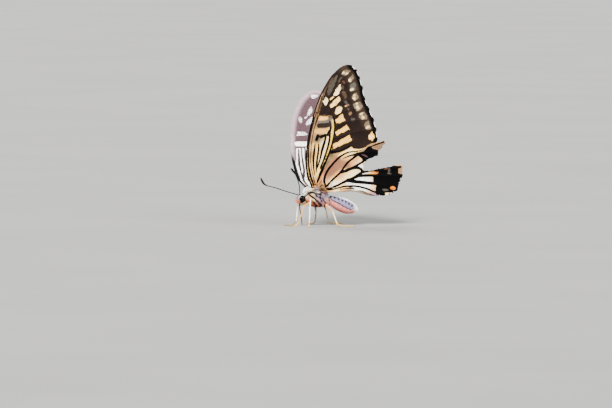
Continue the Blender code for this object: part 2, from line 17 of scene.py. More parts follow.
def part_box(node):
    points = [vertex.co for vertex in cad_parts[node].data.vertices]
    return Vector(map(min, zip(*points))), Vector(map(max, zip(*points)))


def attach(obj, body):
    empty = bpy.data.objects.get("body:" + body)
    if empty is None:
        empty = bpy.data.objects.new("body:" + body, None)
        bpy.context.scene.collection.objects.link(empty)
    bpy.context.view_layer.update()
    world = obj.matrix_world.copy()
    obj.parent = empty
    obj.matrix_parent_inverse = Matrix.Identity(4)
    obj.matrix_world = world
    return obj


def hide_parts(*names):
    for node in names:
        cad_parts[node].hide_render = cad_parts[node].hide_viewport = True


MM = 0.001
LEFT, RIGHT = -1, 1
SIDE_NAMES = {LEFT: "left", RIGHT: "right"}
SEED = 11

# The pose of the wings: each side opens from the upright by its own angle.
HINGE_HEIGHT = 14.1
HINGE_HALF_WIDTH = 3.16
OPENING = {LEFT: math.radians(8.5), RIGHT: math.radians(45.8)}
SWEEP = {LEFT: 0.0, RIGHT: math.radians(-0.9)}
WING_REACH = 50.0
TIP_BEND = {LEFT: -0.75, RIGHT: -4.6}
LAYER_LIFT = 1.24               # the hindwing lies this far to the outside of the forewing
# How far the right forewing's front edge bows forward, as (span, distance) pairs.
BOW = ((0.8, 0.3), (2.4, 0.65), (4.2, 0.75), (7.0, 0.4), (10.0, 0.0))
BOW_BACK, BOW_FULL = 1.8, 3.0
HIND_ROOT = (3.7, -0.2)
LAYER_START, LAYER_FULL = 0.3, 2.6

# The wing sheet: half its thickness, its veins, and the folds between them.
SHEET_HALF = 0.07
VEIN_RISE = 0.13
VEIN_SPREAD = 0.24
VEIN_END = 0.45                 # share of its height that a vein keeps at the margin
SAG = 0.13                      # how far the membrane sinks between two veins
SAG_SPREAD = 1.3
RIPPLE = 0.1
VEIN_ROWS = (0.0, -0.16, 0.16, -0.34, 0.34)
ROW_STEP = 0.45
NET_STEP = 0.27
NET_CLEARANCE = 0.14            # how far the even net stays from the outermost row
EDGE_CLEARANCE = 0.14
LEAST_GAP = 0.13                # no two inner points lie nearer than this
EDGE_STEP = 0.3
LINE_STEP = 0.5                 # how closely a drawn line is read
PATCH_STEP = 0.3                # and a drawn shape
SCALLOP = 0.25
RAGGED = 0.13                   # how far the torn edges stray

FORE_COSTA = ((-1.9, 0.8), (-2.6, 2.5), (-3.4, 4.2), (-4.0, 6.0), (-4.5, 8.0), (-4.75, 10.0), (-4.8, 13.0),
              (-4.7, 16.0), (-4.4, 20.0), (-3.5, 25.0), (-2.15, 31.0), (0.3, 38.0), (3.8, 44.1),
              (5.8, 46.3), (8.2, 48.3), (10.4, 49.1), (12.3, 48.9))
FORE_MARGIN = ((12.3, 48.9), (14.5, 47.2), (15.9, 44.2), (17.3, 40.1), (18.3, 35.9), (20.1, 32.1),
               (22.3, 27.6), (23.6, 23.7), (24.2, 19.6))
FORE_INNER = ((24.2, 19.6), (23.4, 18.2), (17.0, 13.2), (9.0, 7.4), (3.4, 3.0), (1.2, 1.2))
FORE_VEINS = {
    "subcosta": ((-1.0, 2.0), (-1.9, 4.0), (-2.6, 6.0), (-3.1, 8.0), (-3.5, 10.0), (-3.75, 12.0),
                 (-3.75, 15.0), (-3.6, 19.0), (-3.0, 23.0), (-2.2, 27.0), (-1.2, 30.6)),
    "radius": ((-0.3, 2.0), (-1.2, 4.6), (-2.0, 7.4), (-2.5, 10.0), (-2.8, 13.0), (-2.7, 18.0),
               (-2.2, 22.4), (-1.5, 25.6), (-0.5, 28.2), (0.2, 29.5)),
    "radial_1": ((-1.5, 25.6), (-0.5, 31.0), (0.9, 36.8)),
    "radial_2": ((-0.4, 28.6), (1.4, 36.0), (3.3, 41.8)),
    "radial_3": ((0.2, 29.5), (2.4, 35.6), (5.0, 41.2), (8.9, 47.6)),
    "radial_4": ((4.2, 39.4), (7.2, 42.2), (9.8, 44.6), (13.2, 47.2)),
    "radial_5": ((0.9, 31.6), (2.7, 37.4), (5.6, 40.0), (10.5, 42.0), (15.1, 44.0)),
    "medial_1": ((1.0, 29.7), (3.5, 34.7), (7.6, 37.3), (12.3, 38.5), (16.5, 39.9)),
    "medial_2": ((2.9, 29.2), (5.8, 33.1), (9.6, 34.9), (14.0, 35.3), (17.4, 35.8)),
    "medial_3": ((5.9, 28.6), (9.3, 30.7), (13.1, 31.7), (19.0, 32.0)),
    "cubital_1": ((6.4, 24.8), (11.5, 26.8), (16.4, 27.4), (21.3, 27.5)),
    "cubital_2": ((6.3, 20.1), (12.8, 22.2), (18.9, 23.3), (22.8, 23.6)),
    "cubitus": ((0.3, 1.8), (0.5, 3.4), (1.0, 5.0), (1.6, 6.8), (2.2, 8.2), (2.8, 9.6), (3.5, 11.4),
                (4.1, 13.0), (4.8, 15.0), (5.35, 17.0), (5.95, 19.2), (6.3, 21.4), (6.5, 24.0),
                (6.35, 26.4), (5.9, 28.6)),
    "cell_end": ((0.2, 29.5), (2.9, 29.2), (5.9, 28.6)),
    "anal": ((1.2, 2.3), (3.7, 6.0), (8.4, 10.3), (14.2, 14.2), (19.5, 17.2), (23.2, 19.0)),
}

HIND_COSTA = ((2.9, 0.9), (1.8, 3.6), (2.2, 7.0), (4.5, 10.8), (7.5, 13.6), (10.6, 15.5), (13.6, 16.2),
              (16.4, 16.1), (18.6, 16.5), (20.6, 17.3), (23.4, 18.6), (26.4, 19.3))
HIND_TIP = ((26.4, 19.3), (26.9, 18.2), (26.0, 17.6), (25.7, 16.4), (24.3, 15.4), (24.3, 13.5))
HIND_TEAR = ((24.3, 13.5), (22.5, 12.9), (19.6, 11.5), (18.3, 10.2), (18.6, 9.2), (18.5, 7.7))
HIND_TORN_EDGE = ((18.5, 7.7), (21.0, 7.5), (24.3, 8.1), (28.4, 8.8), (31.8, 9.7), (33.6, 9.9), (34.5, 9.2))
HIND_MARGIN = ((34.5, 9.2), (34.3, 7.2), (34.7, 5.4), (33.8, 3.4), (33.0, 0.9), (32.8, -0.4), (31.0, -1.3),
               (29.7, -2.2), (28.0, -2.5))
HIND_INNER = ((28.0, -2.5), (25.6, -2.5), (23.1, -2.1), (20.2, -1.0), (17.6, -0.15), (14.0, -0.15),
              (8.6, -0.5), (5.0, -0.8))
HIND_VEINS = {
    "subcosta": ((3.6, 1.4), (2.9, 3.0), (2.75, 4.5), (3.2, 6.3), (4.2, 8.3), (5.6, 10.1), (7.4, 12.0),
                 (9.4, 13.7), (12.0, 14.95), (16.4, 15.5), (21.5, 17.2), (25.6, 18.8)),
    "radius": ((3.7, 1.5), (5.0, 3.0), (6.6, 4.6), (8.2, 6.1), (9.2, 7.1), (10.3, 8.7), (12.0, 10.9),
               (13.8, 12.4), (16.2, 13.9), (20.5, 15.0), (23.8, 15.2)),
    "medial_1": ((9.2, 7.1), (11.0, 7.5), (13.0, 8.3), (14.6, 8.9), (16.2, 10.0), (18.3, 11.2)),
    "cell_end": ((14.6, 8.9), (16.4, 8.7), (17.7, 8.1), (18.0, 7.0)),
    "cubitus": ((4.2, 0.3), (6.0, 1.1), (8.0, 1.9), (10.0, 2.8), (12.4, 3.9), (14.2, 4.6), (16.2, 5.7),
                (18.0, 7.0)),
    "medial_3": ((18.0, 7.0), (20.0, 7.5), (22.4, 7.8), (25.4, 7.6), (28.4, 8.1), (33.6, 8.9)),
    "cubital_1": ((14.2, 4.6), (16.6, 5.5), (20.0, 5.7), (24.0, 5.6), (34.0, 5.3)),
    "cubital_2": ((12.4, 3.9), (15.0, 3.4), (18.6, 3.0), (22.0, 2.6), (24.6, 2.2), (32.3, 0.2)),
    "anal": ((4.9, 0.05), (7.0, 0.6), (9.0, 1.1), (11.0, 1.5), (13.0, 1.6), (15.0, 1.6), (17.0, 1.35),
             (19.0, 0.85), (21.0, 0.2), (23.4, -0.8), (27.6, -1.8)),
}

NO_INK = -9.0                   # a depth far outside every mark
# How far the forewing's pale marks stray from their drawn outlines, and its glints from their places.
MARK_STRAY = 0.13
GLINT_STRAY = 1.6 * MARK_STRAY
# Pale marks of the forewing, which both faces share: outline, then the shade on the underside. The
# straw ones have straight sides.
FORE_SPOTS = {
    "third_median": (((7.0, 26.1), (6.8, 27.6), (9.2, 30.0), (10.7, 27.3), (8.9, 26.5)), "straw"),
    "first_cubital": (((7.0, 22.8), (11.5, 25.5), (12.4, 23.7), (7.2, 21.4)), "straw"),
    "second_cubital": (((6.0, 17.7), (12.4, 21.5), (14.0, 19.4), (6.4, 16.2)), "straw"),
    "front_disc": (((2.4, 36.7), (3.3, 35.2), (2.5, 33.3), (1.4, 34.4)), "milk"),
    "smoky": (((6.4, 45.0), (6.5, 43.4), (4.7, 38.6), (3.6, 37.2), (2.9, 38.0), (3.8, 41.4)), "smoke"),
    "upper_disc": (((8.1, 41.6), (8.2, 39.6), (7.2, 37.6), (6.1, 36.9), (5.6, 37.5), (6.5, 39.6)), "milk"),
    "upper_disc_root": (((5.6, 36.6), (5.1, 35.8), (4.2, 35.2), (4.2, 35.9), (4.8, 36.7)), "cream"),
    "middle_disc": (((7.6, 36.6), (8.2, 35.4), (6.2, 33.0), (4.7, 32.2), (4.3, 33.2), (5.6, 35.0)),
                     "cream"),
    "lower_disc": (((8.2, 33.0), (9.2, 31.5), (8.2, 30.2), (6.8, 29.8), (6.6, 31.3)), "cream"),
    "edge_1": (((9.3, 47.0), (11.9, 46.8), (11.8, 46.2), (10.4, 45.3), (9.2, 45.0), (8.6, 45.7)), "dun"),
    "edge_2": (((13.0, 45.2), (13.4, 43.9), (12.6, 42.6), (11.4, 42.3), (11.2, 43.0)), "dun"),
    "edge_3": (((14.0, 42.1), (14.3, 39.8), (13.0, 38.6), (12.0, 39.7), (12.2, 41.2)), "fog"),
    "edge_4": (((14.9, 38.0), (15.6, 36.0), (14.2, 35.0), (13.1, 36.1), (13.2, 37.3)), "dun"),
    "edge_5": (((16.4, 34.5), (17.3, 32.1), (15.5, 30.9), (14.0, 32.3), (13.9, 33.7)), "dun"),
    "edge_6": (((18.1, 30.5), (19.7, 28.1), (17.9, 27.4), (16.2, 28.4), (16.3, 29.9)), "dun"),
    "edge_7": (((20.0, 27.0), (21.2, 24.2), (19.9, 23.5), (18.5, 25.4)), "dun"),
    "edge_8": (((21.9, 22.8), (23.0, 20.4), (21.9, 19.0), (20.4, 19.9), (20.8, 21.6)), "straw"),
}
# Where the marginal spots of the underside are brightest, as chord, span and reach.
FORE_GLINTS = ((8.8, 46.0, 0.6), (10.6, 45.6, 0.55), (11.7, 42.9, 0.6), (12.8, 39.4, 0.6),
               (13.8, 37.2, 0.5), (14.1, 35.8, 0.6), (15.4, 32.2, 0.7), (14.9, 34.0, 0.4),
               (17.2, 29.8, 0.45), (17.9, 28.4, 0.6), (20.0, 24.6, 0.6), (21.3, 20.6, 0.9),
               (8.8, 31.6, 0.8), (7.5, 30.6, 0.6), (2.2, 34.0, 0.9), (10.7, 33.1, 0.3))
# Where they are darkest.
FORE_SHADOWS = ((6.8, 34.1, 0.5), (9.9, 46.6, 0.5), (12.8, 44.6, 0.5), (14.5, 36.7, 0.3), (16.4, 33.6, 0.5),
                (18.2, 29.5, 0.35), (2.5, 36.3, 0.35), (8.4, 33.0, 0.5))
# Dusty spots between the two rows, on the underside alone.
FORE_DUSTY = {
    "dusty_1": (((8.8, 38.4), (10.0, 38.8), (11.1, 36.9), (10.3, 35.8), (9.3, 36.6)), "bark"),
    "dusty_2": (((9.8, 35.0), (10.6, 35.3), (11.4, 34.2), (10.6, 33.7), (9.9, 34.0)), "fog"),
    "dusty_3": (((10.3, 33.2), (11.4, 33.9), (12.1, 33.2), (11.2, 32.5), (10.4, 32.6)), "tan"),
    "dusty_4": (((11.2, 32.2), (12.2, 32.2), (12.3, 31.2), (11.6, 30.8)), "bark"),
    "dusty_5": (((11.9, 30.2), (12.8, 30.8), (13.4, 29.8), (12.9, 29.2), (12.1, 29.5)), "tan"),
    "dusty_6": (((8.6, 41.0), (9.5, 41.2), (9.8, 39.8), (9.2, 39.1), (8.7, 40.0)), "bark"),
    "dusty_7": (((8.8, 43.0), (10.0, 42.6), (9.9, 41.7), (9.0, 41.9)), "russet"),
    "dusty_8": (((12.8, 28.3), (14.4, 28.2), (14.6, 27.0), (13.2, 26.8)), "smoke"),
    "upper_tail": (((6.9, 42.4), (7.5, 41.8), (8.6, 43.9), (8.1, 44.4)), "bark"),
}
FORE_BARS = {
    "cell_end": (((0.0, 28.9), (3.4, 28.9), (3.7, 27.9), (2.6, 27.5), (-0.2, 27.4)), "straw"),
    "cell_middle": (((-1.6, 23.9), (1.6, 24.0), (3.4, 24.3), (4.5, 25.3), (4.8, 24.9), (4.4, 23.7),
                     (3.5, 22.7), (2.4, 22.2), (-0.4, 22.2), (-1.8, 22.5)), "sand"),
}
# Dark streaks of the forewing's cell on the underside: line, then half widths spread along it.
FORE_STREAKS = {
    "subcosta_root": (((-0.9, 1.6), (-1.8, 3.8), (-2.6, 6.0), (-3.1, 8.0), (-3.5, 10.4), (-3.75, 14.0)),
                       0.34, 0.44, 0.42, 0.38, 0.3),
    "first": (((-0.8, 5.8), (-1.25, 8.0), (-1.4, 9.4), (-1.6, 12.0), (-1.5, 14.0), (-1.3, 16.0),
               (-1.2, 18.0)), 0.2, 0.32, 0.44, 0.48, 0.46, 0.3),
    "second": (((-0.25, 6.9), (-0.22, 8.4), (-0.2, 10.0), (-0.1, 12.0), (0.15, 14.0), (0.35, 16.0),
                (0.3, 18.0)), 0.2, 0.38, 0.44, 0.42, 0.42, 0.3),
    "third": (((0.2, 8.6), (0.75, 10.6), (1.25, 13.0), (1.65, 15.0), (2.0, 16.6), (2.4, 18.0), (2.85, 19.8),
               (3.2, 21.4)), 0.2, 0.34, 0.44, 0.54, 0.6, 0.5, 0.42),
    "fourth": (((1.5, 8.6), (2.0, 10.4), (2.6, 12.0), (3.2, 13.8), (3.8, 15.6), (4.2, 17.4), (4.55, 19.4),
                (4.7, 21.0), (4.6, 22.4), (4.9, 24.6), (4.75, 26.2), (4.3, 27.0)), 0.44, 0.4, 0.44, 0.5,
                0.5, 0.46, 0.54, 0.4, 0.24),
    "front_blot": (((-0.2, 21.3), (-0.7, 19.9)), 0.7, 0.62),
    "rear_blot": (((2.8, 21.6), (1.1, 20.9)), 0.56, 0.66),
    "rear_fork": (((3.7, 21.6), (4.4, 23.2)), 0.5, 0.5),
    "cell_bar": (((0.2, 25.3), (2.0, 25.4), (4.2, 25.6)), 0.98, 0.92),
    "inner_cell": (((5.6, 14.9), (8.0, 15.3), (10.4, 16.1), (13.2, 17.6)), 0.76, 0.78, 0.92),
    "cubitus_root": (((0.2, 3.2), (0.8, 4.6), (1.4, 6.2), (1.9, 7.4), (2.6, 9.2), (3.3, 11.0)), 0.24, 0.44,
                      0.62, 0.64, 0.5, 0.42),
}
FORE_YELLOW = ((5.5, 27.4), (5.85, 25.4), (5.8, 23.0), (5.55, 20.5), (5.0, 18.0), (4.2, 15.0), (3.4, 12.6),
               (2.6, 10.6))
YELLOW_WIDTHS = (0.36, 0.36, 0.3, 0.16)
YELLOW_CLEAR_WIDTHS = (0.26, 0.26, 0.22, 0.06)     # how far it keeps the ink away
# The dark field beyond the cell, which reaches past the wing's edge.
FORE_FIELD = ((-5.0, 29.6), (0.2, 29.6), (3.0, 29.4), (5.9, 28.8), (6.4, 27.4), (6.8, 23.6), (6.3, 19.0),
              (5.6, 15.4), (8.0, 15.2), (10.4, 15.9), (12.4, 16.9), (13.5, 17.5), (13.9, 16.6),
              (14.8, 15.9), (16.4, 15.7), (18.2, 16.2), (19.8, 16.8), (20.4, 17.8), (26.0, 18.6),
              (26.0, 52.0), (-5.0, 52.0))
COSTAL_STRIP = ((-1.9, 25.0), (-1.0, 29.5), (0.2, 34.0), (1.5, 38.0), (3.1, 41.2), (4.9, 44.0))
STRIP_WIDTHS = (0.9, 0.75, 0.45, 0.3)
COSTA_WIDTHS = (0.68, 0.66, 0.68, 0.95)
MARGIN_INK = 1.15               # width of the black along the outer edge
# Half widths of the ink along the forewing's veins; the rest are drawn as thin lines.
FORE_INK = {"subcosta": (0.3, 0.26, 0.2), "radius": (0.2, 0.16), "cubitus": (0.5, 0.46, 0.4),
            "anal": (0.2, 0.15)}
# White lines of the upper side's cell.
WHITE_STREAKS = (((-1.5, 20.6), (-2.2, 17.0), (-3.0, 13.5), (-3.1, 10.6), (-2.6, 6.9), (-1.9, 3.6),
                  (-1.0, 0.9)),
                 ((-0.5, 20.6), (-1.0, 17.1), (-1.1, 15.0), (-1.6, 10.6), (-0.9, 6.0), (-0.3, 3.0),
                  (0.1, 0.9)),
                 ((0.9, 20.6), (0.3, 17.1), (0.1, 13.6), (-0.3, 8.4), (0.3, 4.0), (0.6, 1.6)),
                 ((2.2, 20.8), (1.6, 18.3), (1.2, 14.0), (0.8, 9.0), (0.9, 5.0)),
                 ((4.4, 19.6), (3.4, 15.2), (2.1, 10.4), (1.4, 5.8)))
# Dark lines between them.
DARK_STREAKS = (((-1.0, 20.4), (-1.6, 16.8), (-2.1, 13.2), (-2.3, 10.4)),
                ((0.2, 20.6), (-0.3, 17.0), (-0.6, 13.4), (-0.9, 9.0), (-1.4, 5.4), (-1.0, 3.0),
                 (-0.5, 1.2)),
                ((1.7, 20.6), (1.0, 16.8), (0.7, 13.4), (0.3, 8.6), (0.5, 4.6)),
                ((3.2, 20.2), (2.4, 15.4), (1.5, 10.6), (1.1, 5.6)))
WHITE_WIDTHS = (0.42, 0.4, 0.36, 0.3)
DARK_WIDTHS = (0.3, 0.44, 0.5, 0.48)

# Dark marks of the hindwing, then the shades that show inside them.
HIND_DARK = {
    "upper": ((18.9, 16.0), (20.0, 17.2), (21.2, 17.1), (22.0, 16.3), (23.6, 15.8), (25.4, 14.8),
              (25.4, 12.8), (22.5, 11.9), (18.5, 11.2), (17.6, 12.4), (16.5, 13.2), (15.9, 14.2),
              (16.5, 15.0), (17.6, 15.2)),
    "lower": ((22.7, 5.4), (24.0, 6.0), (24.8, 6.9), (25.0, 8.6), (28.4, 9.3), (31.8, 9.4), (32.8, 8.6),
              (33.0, 6.4), (35.4, 5.6), (34.8, 3.4), (33.4, 0.6), (32.3, -0.9), (30.2, -1.3), (29.2, -1.2),
              (27.6, -2.4), (25.6, -2.4), (24.2, -2.0), (23.8, 0.4), (24.1, 2.0), (22.9, 2.4)),
}
HIND_LIGHT = {
    "upper_lilac": (((17.2, 13.9), (18.4, 14.1), (19.6, 13.5), (20.1, 12.9), (19.3, 13.0), (18.2, 13.6)),
                     "mauve"),
    "upper_tan": (((17.0, 15.1), (17.8, 16.2), (18.9, 16.5), (18.7, 15.7), (17.8, 15.2)), "rose"),
    "lower_grey": (((28.5, 7.9), (29.1, 8.6), (29.6, 7.4), (29.1, 6.7), (30.2, 6.3), (29.8, 6.0),
                    (28.3, 6.3), (28.7, 7.0)), "smoke"),
    "lower_rust": (((26.8, 8.2), (28.0, 8.5), (28.7, 8.3), (27.6, 7.9)), "rust"),
    "anal_orange": (((29.7, 0.5), (30.4, 1.2), (31.5, 1.1), (32.0, 0.4), (31.7, -0.1), (30.8, -0.1)),
                     "orange"),
    "anal_grey": (((26.6, 0.2), (28.4, 0.3), (29.3, -0.3), (28.5, -0.6), (27.2, -0.5)), "smoke"),
    "anal_white": (((27.9, -1.4), (28.9, -1.3), (29.0, -1.9), (28.0, -1.9)), "milk"),
}
# Half widths of the ink along its veins, then its other dark lines.
HIND_INK = {"subcosta": (0.5, 0.5, 0.46, 0.3, 0.12, 0.1), "radius": (0.48, 0.46, 0.5, 0.42),
            "medial_1": (0.6, 0.5), "cell_end": (0.66, 0.5), "cubitus": (0.44, 0.5, 0.5),
            "medial_3": (0.64, 0.5), "cubital_1": (0.66, 0.56), "cubital_2": (0.78, 0.66, 0.5),
            "anal": (0.3, 0.42, 0.4)}
HIND_STREAKS = {
    "brown": (((10.0, 12.6), (12.0, 13.3), (14.0, 13.9), (16.0, 14.5)), 0.2, 0.36, 0.4),
    "torn_rim": (((18.2, 7.4), (21.4, 7.9), (24.6, 8.3), (30.0, 9.3)), 0.34, 0.36),
    "tip_line": (((20.5, 16.9), (22.4, 17.6), (26.6, 19.0)), 0.26, 0.4),
    "medial_base": (((9.3, 7.2), (11.0, 7.5), (13.0, 8.3), (15.2, 9.1)), 0.38, 0.7, 0.62, 0.8),
    "cubitus_end": (((10.0, 2.8), (12.4, 3.9), (14.4, 4.6), (17.6, 6.7)), 0.48, 0.72, 0.66, 0.6),
    "root_line": (((3.3, 1.6), (2.3, 1.9), (1.3, 2.9)), 0.3, 0.24),
    "fold_line": (((9.5, 0.35), (12.0, 0.6), (14.0, 0.7), (15.1, 0.4)), 0.16, 0.22, 0.34),
}
# Shades of the pale ground at places on each wing.
FORE_GROUND = {
    "wheat": ((-3.5, 8.0), (-3.0, 5.2), (-0.6, 24.6), (5.6, 11.8), (4.8, 9.0), (7.6, 13.9), (9.6, 14.4)),
    "tan": ((-4.0, 14.0), (-3.8, 18.0), (-2.9, 20.6), (-2.6, 25.0), (-1.0, 26.0)),
    "rose": ((-3.2, 11.6), (-3.2, 16.0), (-2.2, 13.4), (-0.4, 4.4), (-1.9, 20.6), (-1.4, 22.4), (2.2, 20.2),
             (-0.8, 29.0), (11.4, 15.2), (22.0, 17.8)),
    "cream": ((-2.2, 17.0), (-2.1, 10.8), (-1.7, 8.0), (-1.3, 5.8), (1.0, 16.2), (0.2, 7.0), (0.9, 8.6),
              (13.2, 16.4), (15.0, 15.2), (23.6, 18.6)),
    "straw": ((-0.5, 17.0), (-0.8, 10.0)),
    "sand": ((-0.8, 13.6), (-0.7, 7.6)),
    "milk": ((0.6, 12.6), (0.3, 9.6), (3.1, 17.0), (2.4, 13.6), (1.6, 10.8), (3.8, 20.0), (1.9, 18.6)),
    "peach": ((0.1, 3.0),),
    "bark": ((-0.2, 19.4), (0.8, 20.0)),
    "ash": ((0.6, 26.9), (3.0, 26.9), (4.0, 28.2)),
    "smoke": ((5.4, 13.4), (4.4, 10.6), (3.6, 8.0)),
    "apricot": ((3.6, 6.4), (2.2, 4.6)),
}
HIND_GROUND = {
    "apricot": ((2.4, 3.0), (1.6, 5.0), (21.4, -0.3), (22.8, -1.0)),
    "blush": ((2.2, 7.6), (5.0, 7.0), (7.0, 9.2), (4.2, 5.0), (8.4, 11.4), (10.8, 11.0), (12.6, 9.6)),
    "peach": ((3.6, 3.6), (12.0, 12.6), (14.0, 11.0), (16.8, 12.0), (15.0, 10.2), (9.6, 5.8), (22.7, 4.2),
              (23.7, 0.6), (3.6, 0.2), (5.2, -0.3), (11.0, 1.0)),
    "cream": ((10.4, 13.6), (15.0, 15.4), (12.0, 6.6), (6.0, 3.6), (20.2, 6.9)),
    "milk": ((13.0, 14.6), (18.2, 11.8), (4.4, 2.0), (8.8, 3.6), (11.4, 5.0), (14.0, 6.6), (16.4, 7.4),
             (10.0, 2.1), (22.8, 0.8), (7.0, 0.2)),
    "white": ((17.0, 9.6), (6.2, 2.4), (19.0, 6.6), (17.0, 4.5), (20.0, 4.5), (21.6, 4.4), (13.0, 2.6),
              (17.0, 2.2), (21.0, 1.6), (16.0, 0.9), (18.4, 0.2), (20.4, -0.4), (27.0, -2.5)),
    "sand": ((8.4, 4.8),),
    "straw": ((21.4, 7.0),),
    "orange": ((22.4, 7.0), (23.4, 7.0)),
    "rust": ((24.6, 7.0),),
    "rose": ((13.0, 0.9), (21.2, 17.8), (24.6, 18.8), (33.5, 7.6), (30.0, 9.6), (33.4, 9.6), (19.6, 8.2),
             (22.6, 8.4), (29.6, -2.0)),
    "lilac": ((22.4, -1.6), (24.0, -2.2)),
    "tan": ((23.0, 17.4), (25.0, 17.4), (33.6, 6.4)),
}
GROUND_REACH, BODY_GROUND_REACH = 0.9, 0.6
FACE_SHIFT = 60.0               # how far apart the patterns of a wing's two faces are read

# Paints, as shares of red, green and blue light given back.
SHADES = {
    "white": (0.90, 0.88, 0.80), "milk": (0.90, 0.67, 0.33), "cream": (0.85, 0.54, 0.17),
    "straw": (0.84, 0.45, 0.075), "sand": (0.62, 0.31, 0.06), "wheat": (0.33, 0.19, 0.065),
    "tan": (0.15, 0.085, 0.045), "rose": (0.30, 0.175, 0.08), "blush": (0.20, 0.085, 0.047),
    "peach": (0.62, 0.28, 0.09), "apricot": (0.48, 0.19, 0.07), "orange": (0.55, 0.15, 0.008),
    "dun": (0.120, 0.087, 0.053), "fog": (0.060, 0.055, 0.046), "bark": (0.052, 0.034, 0.022),
    "russet": (0.060, 0.032, 0.017),
    "yellow": (0.62, 0.36, 0.03), "smoke": (0.045, 0.039, 0.030), "ash": (0.09, 0.078, 0.062),
    "rust": (0.070, 0.026, 0.012), "lilac": (0.26, 0.19, 0.30), "slate": (0.030, 0.032, 0.050),
    "night": (0.010, 0.011, 0.019),
    "sepia": (0.010, 0.006, 0.005), "umber": (0.016, 0.011, 0.009), "black": (0.0008, 0.0007, 0.0008),
    "mauve": (0.054, 0.031, 0.037), "pale_mauve": (0.27, 0.195, 0.23), "chalk": (0.90, 0.90, 0.90),
    "salmon": (0.64, 0.215, 0.18), "pink": (0.60, 0.30, 0.26), "lavender": (0.22, 0.19, 0.31),
    "coral": (0.52, 0.12, 0.05), "honey": (0.25, 0.13, 0.02), "charcoal": (0.008, 0.006, 0.006),
}
SHADE = {name: np.array(values) for name, values in SHADES.items()}

# The body, which is rolled a little about its length, top to the right.
BODY_ROLL = math.radians(6.0)
ROLL_HEIGHT = -3.2
# Stations along the skin: place x, middle z, half width, half height.
SKIN_STATIONS = ((-6.62, -3.75, 0.15, 0.2), (-6.5, -3.72, 0.55, 0.7), (-6.1, -3.65, 1.0, 1.2),
                 (-5.4, -3.58, 1.3, 1.5), (-4.6, -3.5, 1.35, 1.5), (-3.9, -3.3, 1.1, 1.25),
                 (-3.3, -3.15, 1.2, 1.35), (-2.7, -3.05, 1.6, 1.8), (-1.8, -3.05, 2.2, 2.55),
                 (-0.3, -3.2, 2.7, 3.1), (1.6, -3.25, 2.9, 3.3), (3.4, -3.4, 2.65, 3.05),
                 (4.9, -3.55, 2.15, 2.6), (5.9, -3.75, 1.75, 2.15), (6.6, -4.05, 1.85, 2.1),
                 (9.2, -5.2, 2.45, 2.8), (12.6, -6.45, 2.5, 2.95), (15.0, -7.15, 2.1, 2.3),
                 (16.6, -7.55, 1.5, 1.55), (17.6, -7.8, 0.85, 0.85), (18.05, -7.92, 0.3, 0.3))
SKIN_SQUARENESS = 2.2
SKIN_RINGS, SKIN_SIDES = 300, 96
ABDOMEN_START, ABDOMEN_END = 6.3, 18.0
ABDOMEN_SEGMENTS = 8
SEGMENT_GROOVE = 0.11
# The line along the abdomen's side, lavender above it and salmon beneath.
SIDE_LINE = ((5.9, -3.2), (6.9, -4.3), (9.3, -5.6), (11.2, -6.8), (12.4, -7.4), (14.2, -8.1), (16.0, -8.2))
# Ink on the side of the body, drawn as (x, z) lines with a half width at each end.
BODY_INK = {
    "collar_arc": (((-3.9, -2.6), (-3.2, -1.8), (-2.5, -1.45), (-0.9, -1.15), (0.5, -1.5), (1.8, -2.15)),
                    0.5, 0.56),
    "oblique_brown": (((-3.0, -1.9), (-1.4, -3.3)), 0.16, 0.22),
    "oblique_front": (((-2.2, -2.2), (-0.6, -3.7), (1.9, -6.2)), 0.3, 0.5),
    "oblique_low": (((-1.8, -3.8), (0.4, -6.6)), 0.28, 0.34),
    "oblique_lower": (((-2.4, -4.4), (-1.0, -6.4)), 0.14, 0.24),
    "oblique_upper": (((-0.6, -1.7), (0.8, -3.2)), 0.14, 0.2),
    "oblique_rear": (((2.6, -3.4), (3.4, -5.2), (3.7, -6.8)), 0.22, 0.34),
    "hinge_rear": (((2.2, -1.3), (3.6, -1.6), (4.4, -2.8)), 0.26, 0.2),
    "dot_front": (((0.1, -2.4), (0.2, -2.6)), 0.46, 0.46),
    "dot_middle": (((1.5, -3.2), (1.7, -3.6)), 0.5, 0.5),
    "dot_low": (((1.9, -4.5), (2.0, -4.7)), 0.4, 0.4),
    "waist": (((4.9, -1.9), (5.5, -3.8), (5.9, -5.4)), 0.18, 0.26),
    "side_line": (SIDE_LINE[:-1], 0.25, 0.2),
}
# Shades of the body's ground at (x, z) places of its side.
BODY_GROUND = {
    "pale_mauve": ((-6.2, -2.9), (1.8, -2.5), (2.2, -1.2)),
    "coral": ((-6.3, -4.6), (-5.2, -5.0), (-2.8, -4.8), (-1.0, -5.0), (0.8, -6.0)),
    "white": ((-5.2, -2.2), (-4.0, -2.6), (-3.6, -1.6), (-2.6, -1.6)),
    "orange": ((-3.8, -4.6),),
    "straw": ((-2.6, -2.6),),
    "peach": ((-2.9, -3.4), (-1.2, -3.4), (-2.4, -2.1)),
    "milk": ((-1.2, -2.4),),
    "lilac": ((0.2, -1.9), (0.4, -3.0), (2.0, -4.2), (4.2, -2.4)),
    "pink": ((0.4, -4.4), (4.4, -4.4)),
    "salmon": ((2.6, -6.2), (4.6, -6.0)),
    "smoke": ((-1.0, 0.0), (2.6, 0.0)),
    "apricot": ((3.4, -0.9),),
    "chalk": ((5.8, -2.2),),
}
TOP_HIGHLIGHT_SHARE = 0.74                # above this share of its half height the abdomen is painted white: a painted highlight of the light from above
ABDOMEN_DOTS = ((6.4, -2.9), (7.8, -3.3), (9.3, -3.9), (10.8, -4.5), (12.2, -5.1), (13.5, -5.8),
                (14.8, -6.6))
DOT_RADIUS = 0.48
MIDDLE_LINE = tuple((station[0], station[1]) for station in SKIN_STATIONS)
BACK_LINE = tuple((station[0], station[1] + station[3]) for station in SKIN_STATIONS)
